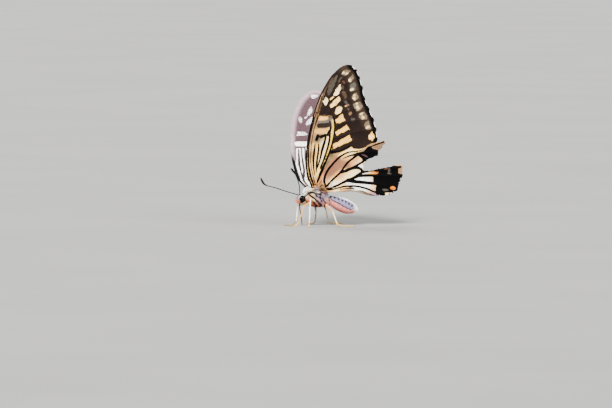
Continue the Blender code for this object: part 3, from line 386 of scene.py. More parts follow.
# Half width of the dark stripe along the back at places along the body.
BACK_STRIPE = ((-6.6, 0.2), (-5.6, 0.45), (-4.6, 0.4), (-4.0, 0.2), (-2.8, 0.12), (-1.6, 0.2), (-0.4, 0.7),
               (5.6, 0.8), (6.2, 0.35), (17.0, 0.25))
# Balls under the skin at the wings' roots: chord, span, lift, radius.
SOCKETS = ((0.1, -0.75, -0.1, 1.1), (3.5, -0.8, -0.5, 0.7))
SOCKET_BLEND, SOCKET_REACH = 0.5, 2.5

# Appendages.
EYE_MIDDLE = (-5.1, 1.62, -3.65)
EYE_HALF = (1.4, 0.95, 1.4)
EYE_HOLLOW = 1.03               # the hollow round an eye, as a share of the eye's size
PALP_PATH = ((-5.9, 0.6, -5.1), (-6.6, 0.62, -4.9), (-6.92, 0.64, -3.8), (-6.85, 0.64, -2.8))
PALP_RADII = (0.2, 0.24, 0.2, 0.08)
# The lobes over the forewing hinges, which have no solid.
TEGULA_PATHS = {LEFT: ((-2.1, -2.5, -0.4), (-1.1, -3.0, 0.25), (0.2, -3.15, 0.35), (1.2, -3.1, 0.2)),
                RIGHT: ((-3.5, 1.7, -1.0), (-2.5, 2.7, 0.0), (-1.2, 3.4, 0.6), (0.6, 3.5, 0.6))}
TEGULA_RADII = (0.26, 0.54, 0.6, 0.34)
ANTENNA_PATHS = {
    LEFT: ((-5.7, -0.45, -2.0), (-6.9, -3.6, 1.6), (-8.9, -7.0, 4.9), (-10.6, -9.1, 7.0),
           (-12.5, -10.6, 8.9)),
    RIGHT: ((-5.7, 0.45, -2.0), (-9.5, 3.0, -0.9), (-13.6, 5.6, 0.6), (-17.3, 7.7, 1.8),
            (-18.8, 8.5, 4.3)),
}
SHAFT_RADIUS, CLUB_RADIUS = 0.2, 0.44
CLUB_START, CLUB_FULL, CLUB_TAPER = 0.74, 0.9, 0.55
ANTENNA_JOINTS = 46
PROBOSCIS_RADIUS = 0.25
PROBOSCIS_PATH = ((-5.6, 0.0, -4.6), (-5.75, 0.0, -6.6), (-5.6, 0.0, -8.6), (-5.25, 0.0, -11.0),
                  (-5.0, 0.0, -13.7))
LEGS = {
    ("fore", LEFT): ((-1.6, -1.2, -5.0), (-4.6, -2.4, -6.1), (-7, -3.3, -12.2), (-8.4, -3.8), (-10.8, -5.2)),
    ("fore", RIGHT): ((-1.6, 1.2, -5.0), (-5.6, 2.5, -6.2), (-6.0, 3.3, -12.2), (-7.4, 3.9), (-10.0, 5.6)),
    ("mid", LEFT): ((0.4, -1.4, -4.6), (-2.9, -5.3, -3.2), (-3.7, -6.4, -11.2), (-4.3, -7.6), (-5.2, -10.6)),
    ("mid", RIGHT): ((1.0, 1.4, -5.4), (2.9, 6.0, -8.9), (3.3, 8.4, -12.8), (2.9, 10.0), (2.0, 13.0)),
    ("hind", LEFT): ((4.2, -1.2, -5.4), (6.0, -5.6, -8.3), (7.2, -7.0, -12.8), (9.0, -7.9), (13.2, -9.4)),
    ("hind", RIGHT): ((4.2, 1.2, -5.4), (6.8, 5.8, -8.0), (8.4, 7.6, -12.8), (10.2, 8.6), (14.4, 10.2)),
}
FEMUR_RADII = (0.34, 0.44, 0.43, 0.33, 0.25)
TIBIA_RADII = (0.2, 0.24, 0.25, 0.23, 0.2)
TARSUS_RADIUS = 0.2
SHIN_SPINES, FOOT_SPINES = 10, 16
TARSUS_SHARES = (0.0, 0.46, 0.62, 0.75, 0.86, 1.0)   # where the five foot joints begin and end
FOOT_HEIGHT = 0.22
LEG_SHADES = {
    ("fore", LEFT): ("sand", "sand", "yellow"), ("fore", RIGHT): ("milk", "white", "honey"),
    ("mid", LEFT): ("milk", "chalk", "straw"), ("mid", RIGHT): ("rose", "salmon", "honey"),
    ("hind", LEFT): ("peach", "milk", "yellow"), ("hind", RIGHT): ("peach", "milk", "yellow"),
}

# Hair and scales: how many tufts each coat has.
THORAX_TUFTS, HEAD_TUFTS, ABDOMEN_TUFTS, MANE_TUFTS = 18500, 6000, 15000, 5200
ORBIT_TUFTS, PALP_TUFTS, TEGULA_TUFTS, LEG_HAIRS = 1500, 1600, 1900, 420
FORE_ROOT_TUFTS, HIND_ROOT_TUFTS, HIND_EDGE_TUFTS = 800, 1400, 1600
FRINGE_SPACING = 0.05
TUFT_POINTS = 7
# Where the body's coats begin and end, and how far the head's coat keeps from the middle of an eye.
THORAX_COAT_START, THORAX_COAT_END = -4.1, 6.3
HEAD_COAT_END, ABDOMEN_COAT_START = -3.8, 6.0
EYE_BARE = 1.1                  # as a share of the eye's size
# The mane grows between two places along the body, above the dark arc behind the head. From MANE_TURN
# towards the tail it also keeps above a falling line.
MANE_START, MANE_END, MANE_CLEARANCE = -3.9, 1.0, 0.3
MANE_TURN, MANE_TURN_HEIGHT, MANE_FALL = -1.6, -0.75, 0.5
MAP_INSET = 0.02                # how far tufts keep from the edges of their bake map
TUBE_SIDES, LOBE_SIDES = 14, 20
EYE_RINGS, EYE_SIDES = 72, 96

# The stage, in metres and degrees.
AZIMUTH, ELEVATION = math.radians(-17.5), math.radians(3.0)
CAMERA_DISTANCE, LENS, SENSOR = 2.5, 379.4, 36.0
AIM_RIGHT, AIM_UP = -3.88, -5.43      # the aim from the left forewing hinge, along the picture's axes
FLOOR_SIZE = 60.0


def curve(points, step, closed=False):
    """The Catmull-Rom curve through the points, read about every step."""
    points = np.array(points, float)
    if closed:
        around = np.vstack([points[-1:], points, points[:2]])
    else:
        around = np.vstack([points[:1], points, points[-1:]])
    line = []
    for index in range(len(around) - 3):
        before, start, end, after = around[index:index + 4]
        count = max(1, round(float(np.linalg.norm(end - start)) / step))
        share = (np.arange(count) / count)[:, None]
        line.append(0.5 * (2 * start + (end - before) * share
                           + (2 * before - 5 * start + 4 * end - after) * share ** 2
                           + (3 * start - before - 3 * end + after) * share ** 3))
    return np.vstack(line + [around[-2:-1]])


def nearest(points, line):
    """For each point its distance to the line, and how far along the line that is, from 0 to 1."""
    starts, along = line[:-1], line[1:] - line[:-1]
    squares = np.maximum((along ** 2).sum(1), 1e-12)
    ahead = points[:, None] - starts[None]
    share = np.clip((ahead * along).sum(2) / squares, 0.0, 1.0)
    gaps = np.linalg.norm(ahead - along * share[..., None], axis=2)
    pick = gaps.argmin(1)
    rows = np.arange(len(points))
    lengths = np.sqrt(squares)
    before = np.concatenate([[0.0], lengths.cumsum()])
    return gaps[rows, pick], (before[pick] + share[rows, pick] * lengths[pick]) / before[-1]


def drawn(points, line):
    """The same for a line of the drawing."""
    return nearest(points, curve(line, LINE_STEP))


def spread(values, share):
    """Values spread evenly along a line, read at shares of its length."""
    return np.interp(share, np.linspace(0.0, 1.0, len(values)), values)


def table_at(table, place):
    """A table of place and value pairs, read at places between them."""
    return np.interp(place, *zip(*table))


def stroke(points, line, *widths):
    """How deep inside a stroke each point lies. Its half widths are spread evenly along it."""
    gap, place = drawn(points, line)
    return spread(widths, place) - gap


def in_strokes(points, strokes):
    """Depth in the deepest of several strokes, each a line and its half widths."""
    return np.max([stroke(points, line, *widths) for line, *widths in strokes], axis=0)


def patch(points, corners, rounded=True):
    """How deep inside a closed shape each point lies, negative outside."""
    outline = curve(corners, PATCH_STEP, closed=True) if rounded else np.array([*corners, corners[0]], float)
    gap, _ = nearest(points, outline)
    chord, span = points[:, 0, None], points[:, 1, None]
    first, second = outline[:-1], outline[1:]
    crosses = (first[:, 1] > span) != (second[:, 1] > span)
    rise = np.where(second[:, 1] == first[:, 1], 1e-9, second[:, 1] - first[:, 1])
    at = first[:, 0] + (span - first[:, 1]) * (second[:, 0] - first[:, 0]) / rise
    inside = (crosses & (chord < at)).sum(1) % 2 == 1
    return np.where(inside, gap, -gap)


def in_marks(points, marks, rounded=True):
    """Depth in the deepest of a table's closed marks."""
    return np.max([patch(points, corners, rounded) for corners, _ in marks.values()], axis=0)


def bays(margin):
    """Each bay of a margin between two vein ends: its start, its way along, and the direction inward."""
    for start, end in zip(margin, margin[1:]):
        along = np.array(end) - np.array(start)
        yield np.array(start), along, np.array((along[1], -along[0])) / np.linalg.norm(along)


def eased(value, low, high):
    share = np.clip((value - low) / (high - low), 0.0, 1.0)
    return share * share * (3.0 - 2.0 * share)


def mixed(first, second, share):
    return first + (second - first) * np.asarray(share)[..., None]


def ground_at(points, anchors, reach):
    """Each point's shade, blended from the shades that are named for nearby places."""
    places = np.array([place for spots in anchors.values() for place in spots])
    shades = np.array([SHADE[name] for name, spots in anchors.items() for _ in spots])
    square = ((points[:, None] - places[None]) ** 2).sum(2)
    square -= square.min(1)[:, None]
    weight = np.exp(-square / (2 * reach ** 2))
    return (weight @ shades) / weight.sum(1)[:, None]


def rolled(points, roll=-BODY_ROLL):
    """Points of the upright body after the body's roll, or with the opposite roll, the way back."""
    points = np.array(points, float)
    sine, cosine = math.sin(roll), math.cos(roll)
    side, height = points[..., 1], points[..., 2] - ROLL_HEIGHT
    turned = np.stack([points[..., 0], side * cosine - height * sine, side * sine + height * cosine], -1)
    turned[..., 2] += ROLL_HEIGHT
    return turned


def mirrored(point, side):
    return (point[0], side * point[1], point[2])


def hinge_place():
    """The middle of the line between the forewing hinges, found from the left eye's solid."""
    low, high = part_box("eye_left")
    return np.array((low + high) / 2.0) / MM - rolled(mirrored(EYE_MIDDLE, LEFT))


def wing_place(side, chord, span, lift):
    """Where points of the flat wing drawing are on the posed butterfly."""
    turn, opening = SWEEP[side], OPENING[side]
    if side == RIGHT:
        chord = chord - table_at(BOW, span) * eased(BOW_BACK - chord, 0.0, BOW_FULL)
    back = chord * math.cos(turn) - span * math.sin(turn)
    out = chord * math.sin(turn) + span * math.cos(turn)
    lift = lift + TIP_BEND[side] * (out / WING_REACH) ** 2
    sideways = HINGE_HALF_WIDTH + math.sin(opening) * out + math.cos(opening) * lift
    return np.stack([back, side * sideways, math.cos(opening) * out - math.sin(opening) * lift], -1)


def new_piece(name, points, faces, material):
    """A mesh object from millimetre points counted from the hinges' middle."""
    mesh = bpy.data.meshes.new(name)
    places = (np.asarray(points) + PLACE) * MM
    mesh.from_pydata(places.tolist(), [], [list(map(int, face)) for face in faces])
    mesh.shade_smooth()
    mesh.materials.append(material)
    thing = bpy.data.objects.new(name, mesh)
    bpy.context.scene.collection.objects.link(thing)
    return thing


def give_values(thing, **values):
    """Store one number, colour or place for each point of the mesh."""
    for name, numbers in values.items():
        numbers = np.asarray(numbers, np.float32)
        if numbers.ndim == 1:
            layer = thing.data.attributes.new(name, "FLOAT", "POINT")
            layer.data.foreach_set("value", numbers)
        elif name.startswith("at_"):
            layer = thing.data.attributes.new(name, "FLOAT_VECTOR", "POINT")
            layer.data.foreach_set("vector", numbers.ravel())
        else:
            layer = thing.data.attributes.new(name, "FLOAT_COLOR", "POINT")
            colours = np.hstack([numbers, np.ones((len(numbers), 1), np.float32)])
            layer.data.foreach_set("color", colours.ravel())


def give_plain_paint(thing, points, shades, darkening, dust):
    """Paint without marks: a ground, and a share of stray scales that are darker."""
    give_values(thing, ground=shades, ink=np.full(len(points), NO_INK), ink_shade=shades * darkening,
                dust=np.full(len(points), dust), at_scale=points)


def give_map(thing, places):
    """Store a bake map, one place for each corner of each face."""
    layer = thing.data.uv_layers.new(name="OFBake")
    layer.data.foreach_set("uv", places.astype(np.float32).ravel())


def face_outwards(thing):
    shape = bmesh.new()
    shape.from_mesh(thing.data)
    bmesh.ops.recalc_face_normals(shape, faces=shape.faces)
    shape.to_mesh(thing.data)
    shape.free()


def dress(thing, slot, *nodes):
    """Ride on the body and stand for the solids named. The slot is not used."""
    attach(thing, "root")
    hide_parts(*nodes)


class Shader:
    """A short way to wire a material's nodes."""

    def __init__(self, name, roughness, specular=0.3):
        self.material = bpy.data.materials.new(name)
        self.material.use_nodes = True
        self.tree = self.material.node_tree
        self.surface = self.tree.nodes["Principled BSDF"]
        self.surface.inputs["Roughness"].default_value = roughness
        self.surface.inputs["Specular IOR Level"].default_value = specular

    def node(self, kind, **settings):
        made = self.tree.nodes.new(kind)
        for name, value in settings.items():
            setattr(made, name, value)
        return made

    def link(self, value, socket):
        if isinstance(value, (int, float, tuple)):
            socket.default_value = value
        else:
            self.tree.links.new(value, socket)

    def attribute(self, name, output="Fac"):
        return self.node("ShaderNodeAttribute", attribute_name=name).outputs[output]

    def math(self, operation, *values, clamp=False):
        made = self.node("ShaderNodeMath", operation=operation, use_clamp=clamp)
        for value, socket in zip(values, made.inputs):
            self.link(value, socket)
        return made.outputs[0]

    def step(self, value, low, high):
        """Smoothly 0 below low and 1 above high."""
        made = self.node("ShaderNodeMapRange", interpolation_type="SMOOTHSTEP")
        for number, item in enumerate((value, low, high, 0.0, 1.0)):
            self.link(item, made.inputs[number])
        return made.outputs[0]

    def mix(self, share, first, second, blend="MIX"):
        made = self.node("ShaderNodeMix", data_type="RGBA", blend_type=blend)
        self.link(share, made.inputs[0])
        self.link(first, made.inputs[6])
        self.link(second, made.inputs[7])
        return made.outputs[2]

    def tinted(self, share, colour, darkest):
        """The colour times a tint, which is the darkest one where the share is 0 and none where it is 1."""
        tint = self.mix(share, darkest, (1.0, 1.0, 1.0, 1.0))
        return self.mix(1.0, colour, tint, "MULTIPLY")

    def stretched(self, vector, scale):
        made = self.node("ShaderNodeMapping")
        self.link(vector, made.inputs["Vector"])
        made.inputs["Scale"].default_value = scale
        return made.outputs[0]

    def noise(self, vector, scale, detail=2.0):
        made = self.node("ShaderNodeTexNoise")
        self.link(vector, made.inputs["Vector"])
        made.inputs["Scale"].default_value = scale
        made.inputs["Detail"].default_value = detail
        return made.outputs["Fac"]

    def cells(self, vector, scale, output="Color"):
        made = self.node("ShaderNodeTexVoronoi")
        self.link(vector, made.inputs["Vector"])
        made.inputs["Scale"].default_value = scale
        return made.outputs[output]

    def red_of(self, colour):
        made = self.node("ShaderNodeSeparateColor")
        self.link(colour, made.inputs[0])
        return made.outputs[0]

    def bump(self, height, distance, strength=1.0):
        made = self.node("ShaderNodeBump")
        made.inputs["Strength"].default_value = strength
        made.inputs["Distance"].default_value = distance
        self.link(height, made.inputs["Height"])
        self.link(made.outputs[0], self.surface.inputs["Normal"])

    def colour(self, value):
        self.link(value, self.surface.inputs["Base Color"])


def scaled_material(name, roughness, scales_per_mm, edge_wander, relief):
    """Ground and ink that meet in a ragged edge of single scales, over rows of fine scales."""
    shader = Shader(name, roughness, 0.03)
    place = shader.attribute("at_scale", "Vector")
    rows = shader.stretched(place, (1.0, 0.55, 1.0))
    cell = shader.red_of(shader.cells(rows, scales_per_mm))
    second_cell = shader.red_of(shader.cells(rows, scales_per_mm * 1.6))
    wander = shader.math("SUBTRACT", shader.noise(place, 1.9, 4.0), 0.5)
    wander = shader.math("MULTIPLY", wander, edge_wander)
    ragged = shader.math("MULTIPLY", shader.math("SUBTRACT", cell, 0.5), edge_wander * 0.5)
    depth = shader.math("ADD", shader.attribute("ink"), shader.math("ADD", wander, ragged))
    mask = shader.step(depth, -0.04, 0.05)
    dust = shader.attribute("dust")
    stray = shader.math("LESS_THAN", second_cell, dust)
    stray = shader.math("MULTIPLY", stray, shader.math("MULTIPLY", dust, 1.2))
    mask = shader.math("ABSOLUTE", shader.math("SUBTRACT", mask, stray))
    colour = shader.mix(mask, shader.attribute("ground", "Color"), shader.attribute("ink_shade", "Color"))
    colour = shader.tinted(shader.step(cell, 0.0, 1.0), colour, (0.78, 0.77, 0.76, 1.0))
    cloud = shader.step(shader.noise(place, 0.7, 3.0), 0.3, 0.7)
    shader.colour(shader.tinted(cloud, colour, (0.9, 0.89, 0.88, 1.0)))
    shader.bump(shader.cells(rows, scales_per_mm, "Distance"), relief * MM, 0.6)
    return shader.material


def fore_depths(points, from_above=False):
    """Depth in the forewing's pale marks, and the shade of the mark that each point is deepest in."""
    deepest = np.full(len(points), NO_INK)
    shade = np.tile(SHADE["cream"], (len(points), 1))
    # Each table of marks, and how much fuller than drawn they are.
    above = ((FORE_SPOTS, 0.0), (FORE_BARS, 0.3))
    below = ((FORE_SPOTS, 0.0), (FORE_DUSTY, -0.12), (FORE_BARS, 0.0))
    for marks, fuller in above if from_above else below:
        for corners, name in marks.values():
            if from_above and name == "smoke":
                continue
            depth = patch(points, corners, name != "straw") + fuller
            closer = depth > deepest
            deepest = np.where(closer, depth, deepest)
            shade[closer] = SHADE[name]
    return deepest, shade


def vein_ink(points, veins, widths, usual):
    """Ink depth along the veins. Those without widths of their own narrow from the usual one."""
    strokes = [(line, *widths.get(name, (usual, usual * 0.75))) for name, line in veins.items()]
    return in_strokes(points, strokes)


def cilia_depth(points, margin):
    """Depth in the white bays of the outer edge, halfway between two vein ends."""
    lines = [[start + along * 0.2 + inward * 0.2, start + along * 0.5 + inward * SCALLOP,
              start + along * 0.8 + inward * 0.2] for start, along, inward in bays(margin)]
    return in_strokes(points, [(line, 0.1) for line in lines])


def strayed(points, reach):
    """The points moved a little to and fro, so that marks read there are less regular."""
    chord, span = points[:, 0], points[:, 1]
    back = np.sin(2.7 * span + 1.3 * chord) + 0.5 * np.sin(5.3 * chord - 2.1 * span)
    out = np.sin(3.1 * chord - 1.9 * span) + 0.5 * np.sin(4.7 * span + 3.3 * chord)
    return points + reach * np.stack([back, out], 1)


def forewing_underside(points):
    """Ground shade, ink depth, ink shade and share of stray scales at points of the flat wing."""
    pale, spot_shade = fore_depths(strayed(points, MARK_STRAY))
    ground = ground_at(points, FORE_GROUND, GROUND_REACH)
    strip = stroke(points, COSTAL_STRIP, *STRIP_WIDTHS)
    field = patch(points, FORE_FIELD, False)
    ground = mixed(ground, spot_shade, eased(field, -0.1, 0.1) * (strip < 0.05))
    bars = in_marks(points, FORE_BARS, False)
    ground = mixed(ground, spot_shade, eased(bars, -0.15, 0.15))
    ground = mixed(ground, SHADE["russet"], eased(strip, -0.1, 0.1) * eased(points[:, 1], 25.0, 34.0))
    moved = strayed(points, GLINT_STRAY)
    for spots, name, strength, fade in ((FORE_GLINTS, "milk", 0.9, 1.5), (FORE_SHADOWS, "bark", 0.6, 1.6)):
        for chord, span, reach in spots:
            near = np.linalg.norm(moved - np.array((chord, span)), axis=1)
            ground = mixed(ground, SHADE[name], strength * eased(-near, -reach * fade, -reach * 0.3))
    yellow = stroke(points, FORE_YELLOW, *YELLOW_WIDTHS)
    ground = mixed(ground, SHADE["yellow"], eased(yellow, -0.12, 0.05))
    ink = np.where(field > -0.15, np.minimum(field, -np.maximum(pale, strip)), NO_INK)
    veins = vein_ink(points, FORE_VEINS, FORE_INK, 0.16)
    ink = np.maximum(ink, veins - 0.3 * eased(pale, 0.0, 0.2) * (points[:, 1] > 28.0))
    ink = np.maximum(ink, in_strokes(points, FORE_STREAKS.values()))
    ink = np.minimum(ink, -stroke(points, FORE_YELLOW, *YELLOW_CLEAR_WIDTHS))
    ink = np.maximum(ink, stroke(points, FORE_COSTA, *COSTA_WIDTHS))
    margin, _ = drawn(points, FORE_MARGIN)
    ink = np.maximum(ink, MARGIN_INK - margin)
    white = cilia_depth(points, FORE_MARGIN)
    ink = np.minimum(ink, -white)
    ground = mixed(ground, SHADE["chalk"], eased(white, -0.05, 0.1))
    ink_shade = mixed(SHADE["black"], SHADE["sepia"], eased(margin, 1.0, 3.0) * eased(field, -0.2, 0.4))
    bar = stroke(points, FORE_STREAKS["cell_bar"][0], 1.1)
    ink_shade = mixed(ink_shade, SHADE["umber"], eased(bar, -0.2, 0.2))
    dust = 0.02 + 0.08 * eased(-np.abs(ink), -0.6, 0.0)
    beyond = eased(-margin, -6.5, -3.5) * eased(margin, 1.2, 2.2) * eased(points[:, 1], 22.0, 27.0)
    ink_shade = mixed(ink_shade, SHADE["bark"], 0.4 * beyond)
    dust = np.maximum(dust, 0.3 * eased(in_marks(points, FORE_DUSTY), -0.8, 0.2))
    dust = np.maximum(dust, 0.35 * eased(patch(points, FORE_SPOTS["smoky"][0]), -0.2, 0.4))
    return ground, ink, ink_shade, dust * (margin > 0.6)


def forewing_upper_side(points):
    """The same marks in white on mauve grey, with white streaks along the cell: a painted sheen over cream
    and black.
    """
    pale, _ = fore_depths(points, from_above=True)
    pale = np.maximum(pale - 0.1, in_strokes(points, [(line, *WHITE_WIDTHS) for line in WHITE_STREAKS]))
    ink = np.maximum(-pale, vein_ink(points, FORE_VEINS, {}, 0.05))
    ink = np.maximum(ink, in_strokes(points, [(line, *DARK_WIDTHS) for line in DARK_STREAKS]))
    white = cilia_depth(points, FORE_MARGIN)
    ink = np.minimum(ink, -white)
    costa, place = drawn(points, FORE_COSTA)
    margin, _ = drawn(points, FORE_MARGIN)
    # Painted sheen: mauve grey, palest by the front edge, in place of the upper side's black.
    ink_shade = mixed(SHADE["pale_mauve"], SHADE["mauve"], eased(costa, 0.6, 2.6))
    # The dark rim fades out before the tip, where it is left under the painted sheen.
    rim = eased(-margin, -2.6, -1.2) * eased(-points[:, 1], -44.0, -38.0)
    ink_shade = mixed(ink_shade, SHADE["umber"], rim)
    base = eased(-points[:, 1], -20.0, -14.0)
    ink_shade = mixed(ink_shade, SHADE["umber"], base * 0.92)
    edge = (0.3 + 0.7 * base - costa) * (place < 0.5)
    ink = np.maximum(ink, edge)
    ink_shade = mixed(ink_shade, SHADE["black"], base * eased(edge, -0.1, 0.0))
    # White marks: painted sheen over their cream.
    ground = np.tile(SHADE["chalk"], (len(points), 1))
    speckle = 0.24 * eased(-costa, -2.2, -1.2) * (place < 0.9) * (edge < -0.05)
    return ground, ink, ink_shade, np.maximum(0.035 * (ink > 0.0), speckle)


def hindwing_underside(points):
    """The same four values on the hindwing, whose coloured spots lie over its veins."""
    ground = ground_at(points, HIND_GROUND, GROUND_REACH)
    ink = np.max([patch(points, corners) for corners in HIND_DARK.values()], axis=0)
    dust = np.full(len(points), 0.03)
    ground = mixed(ground, SHADE["night"], eased(ink, 0.0, 0.4))
    ink = np.maximum(ink, vein_ink(points, HIND_VEINS, HIND_INK, 0.2))
    ink = np.maximum(ink, in_strokes(points, HIND_STREAKS.values()))
    for corners, name in HIND_LIGHT.values():
        depth = patch(points, corners)
        ink = np.minimum(ink, -depth)
        ground = mixed(ground, SHADE[name], eased(depth, -0.4, 0.0))
        dust = np.maximum(dust, 0.12 * eased(depth, -0.5, 0.2))
    inner, _ = drawn(points, HIND_INNER)
    rusty = 0.6 * eased(-inner, -0.9, -0.3) * (points[:, 0] < 24.0)
    ink_shade = mixed(SHADE["black"], SHADE["rust"], rusty)
    return ground, ink, ink_shade, dust


def hindwing_upper_side(points):
    """Paler ground, broader dark border, the same coloured spots."""
    ground, ink, ink_shade, dust = hindwing_underside(points)
    border = patch(points, HIND_DARK["lower"]) + 0.5
    ink = np.maximum(ink, np.minimum(border, -in_marks(points, HIND_LIGHT)))
    ground = mixed(ground, SHADE["cream"], 0.45)
    ground = mixed(ground, SHADE["slate"], eased(ink, 0.0, 0.3))
    return ground, ink, ink_shade, dust


def scalloped(ends):
    """A margin that bays in between the vein ends."""
    line = []
    for start, along, inward in bays(ends):
        count = max(2, round(float(np.linalg.norm(along)) / EDGE_STEP))
        for share in np.arange(count) / count:
            line.append(start + along * share + inward * SCALLOP * math.sin(math.pi * share) ** 0.8)
    return np.array(line + [ends[-1]])


def ragged(line, rng):
    """A torn edge: the line with small random nicks."""
    stray = rng.normal(0.0, RAGGED, line.shape)
    stray[0] = stray[-1] = 0.0
    return line + np.clip(stray, -2 * RAGGED, 2 * RAGGED)


def joined_outline(*runs):
    """One outline from runs that each start where the last one ends."""
    return np.vstack([run[:-1] for run in runs])


def forewing_outline():
    costa, inner = curve(FORE_COSTA, EDGE_STEP), curve(FORE_INNER, EDGE_STEP)
    root = np.array((FORE_INNER[-1], FORE_COSTA[0]))
    return joined_outline(costa, scalloped(FORE_MARGIN), inner, root)


def hindwing_outline():
    rng = np.random.default_rng(SEED)
    whole = [curve(line, EDGE_STEP) for line in (HIND_COSTA, HIND_MARGIN, HIND_INNER)]
    torn = [ragged(curve(line, EDGE_STEP), rng) for line in (HIND_TIP, HIND_TEAR, HIND_TORN_EDGE)]
    root = np.array((HIND_INNER[-1], HIND_COSTA[0]))
    return joined_outline(whole[0], *torn, whole[1], whole[2], root)


def vein_rows(veins):
    """Points along each vein's crest and its two flanks."""
    rows = []
    for line in veins.values():
        crest = curve(line, ROW_STEP)
        along = np.gradient(crest, axis=0)
        across = np.stack([along[:, 1], -along[:, 0]], 1) / np.linalg.norm(along, axis=1)[:, None]
        rows += [crest + across * offset for offset in VEIN_ROWS]
    return np.vstack(rows)


def spaced(points, least):
    """Drop points that lie nearer to an earlier one than the least distance."""
    kept, taken = [], {}
    for point in points:
        home = (int(point[0] // least), int(point[1] // least))
        near = [taken.get((home[0] + right, home[1] + up)) for right in (-1, 0, 1) for up in (-1, 0, 1)]
        if all(other is None or np.hypot(*(point - other)) >= least for other in near):
            taken[home] = point
            kept.append(point)
    return np.array(kept)


def flat_wing(outline, veins):
    """Points and triangles of the flat wing: its outline, rows beside the veins, and an even net."""
    low, high = outline.min(0), outline.max(0)
    spans = np.arange(low[1], high[1], NET_STEP * math.sqrt(0.75))
    net = [(chord + (number % 2) * NET_STEP / 2, span) for number, span in enumerate(spans)
           for chord in np.arange(low[0], high[0], NET_STEP)]
    inner = spaced(np.vstack([vein_rows(veins), net]), LEAST_GAP)
    inner = inner[patch(inner, outline, False) > EDGE_CLEARANCE]
    gap = np.min([nearest(inner, curve(line, ROW_STEP))[0] for line in veins.values()], axis=0)
    beside = np.min(np.abs(gap[:, None] - np.abs(VEIN_ROWS)[None]), axis=1) < 1e-3
    keep = beside | (gap > max(VEIN_ROWS) + NET_CLEARANCE)
    points = np.vstack([outline, inner[keep]])
    edges = [(index, (index + 1) % len(outline)) for index in range(len(outline))]
    result = delaunay_2d_cdt([Vector(point) for point in points], edges, [], 1, 1e-5)
    flat = np.array([tuple(point) for point in result[0]])
    triangles = np.array([list(face) for face in result[2]])
    return flat, triangles


def membrane(flat, veins):
    """Half thickness and sag of the sheet at each flat point."""
    rise = np.zeros(len(flat))
    gap = np.full(len(flat), 99.0)
    for line in veins.values():
        away, share = nearest(flat, curve(line, ROW_STEP))
        height = VEIN_RISE * (1.0 - (1.0 - VEIN_END) * share)
        rise = np.maximum(rise, height * np.exp(-(away / VEIN_SPREAD) ** 2))
        gap = np.minimum(gap, away)
    sag = SAG * (1.0 - np.exp(-(gap / SAG_SPREAD) ** 2))
    chord, span = flat[:, 0], flat[:, 1]
    ripple = np.sin(0.9 * chord + 0.35 * span) * np.sin(0.55 * span - 0.4 * chord + 1.3)
    return SHEET_HALF + rise, sag + RIPPLE * ripple


def fore_lift(flat):
    """The forewing lies in the plane of its drawing."""
    return np.zeros(len(flat))


def hind_lift(flat):
    """The hindwing leaves its socket beside the forewing and then lies over its outside."""
    away = np.linalg.norm(flat - np.array(HIND_ROOT), axis=1)
    return LAYER_LIFT * eased(away, LAYER_START, LAYER_FULL)


def edge_walk(triangles):
    """The boundary edges of the triangles, each in its triangle's own direction."""
    edges = np.vstack([triangles[:, [0, 1]], triangles[:, [1, 2]], triangles[:, [2, 0]]])
    keys = [tuple(sorted(edge)) for edge in edges.tolist()]
    uses = {}
    for key in keys:
        uses[key] = uses.get(key, 0) + 1
    return np.array([edge for edge, key in zip(edges.tolist(), keys) if uses[key] == 1])


def bake_map(thing, flat, count, rim):
    """A bake map: the upper face on the left half, the lower face on the right, the rim in a strip."""
    mesh = thing.data
    low, high = flat.min(0), flat.max(0)
    share = (flat - low) / (high - low)
    upper = np.stack([0.01 + 0.47 * share[:, 0], 0.05 + 0.94 * share[:, 1]], 1)
    lower = upper + np.array((0.51, 0.0))
    corners = np.empty(len(mesh.loops), np.int64)
    mesh.loops.foreach_get("vertex_index", corners)
    sizes = np.empty(len(mesh.polygons), np.int64)
    mesh.polygons.foreach_get("loop_total", sizes)
    face = np.repeat(np.arange(len(sizes)), sizes)
    on_upper = (corners < len(flat))[:, None]
    places = np.where(on_upper, upper[corners % len(flat)], lower[corners % len(flat)])
    on_rim = face >= 2 * count
    number = face[on_rim] - 2 * count
    is_end = (corners[on_rim] % len(flat)) == rim[number, 1]
    strip = np.stack([(number + is_end) / len(rim), 0.008 + 0.02 * (corners[on_rim] < len(flat))], 1)
    places[on_rim] = strip
    give_map(thing, places)


def make_wing(name, side, drawing, veins, lift_at, upper_side, underside, material):
    """A thin veined sheet with its own markings on each face."""
    flat, triangles = drawing
    half, sag = membrane(flat, veins)
    lift = lift_at(flat) - sag
    upper = wing_place(side, flat[:, 0], flat[:, 1], lift - half)
    lower = wing_place(side, flat[:, 0], flat[:, 1], lift + half)
    rim = edge_walk(triangles)
    sides = np.stack([rim[:, 1], rim[:, 0], rim[:, 0] + len(flat), rim[:, 1] + len(flat)], 1)
    faces = triangles.tolist() + (triangles[:, ::-1] + len(flat)).tolist() + sides.tolist()
    thing = new_piece(name, np.vstack([upper, lower]), faces, material)
    face_outwards(thing)
    marks = [np.concatenate(pair) for pair in zip(upper_side(flat), underside(flat))]
    place = np.zeros((2 * len(flat), 3))
    place[:, :2] = np.vstack([flat, flat + FACE_SHIFT])
    give_values(thing, ground=marks[0], ink=marks[1], ink_shade=marks[2], dust=marks[3], at_scale=place)
    bake_map(thing, flat, len(triangles), rim)
    dress(thing, "wing_scales", name)


def make_wings(material):
    fore = flat_wing(forewing_outline(), FORE_VEINS)
    hind = flat_wing(hindwing_outline(), HIND_VEINS)
    for side, word in SIDE_NAMES.items():
        make_wing("forewing_" + word, side, fore, FORE_VEINS, fore_lift,
                  forewing_upper_side, forewing_underside, material)
        make_wing("hindwing_" + word, side, hind, HIND_VEINS, hind_lift,
                  hindwing_upper_side, hindwing_underside, material)


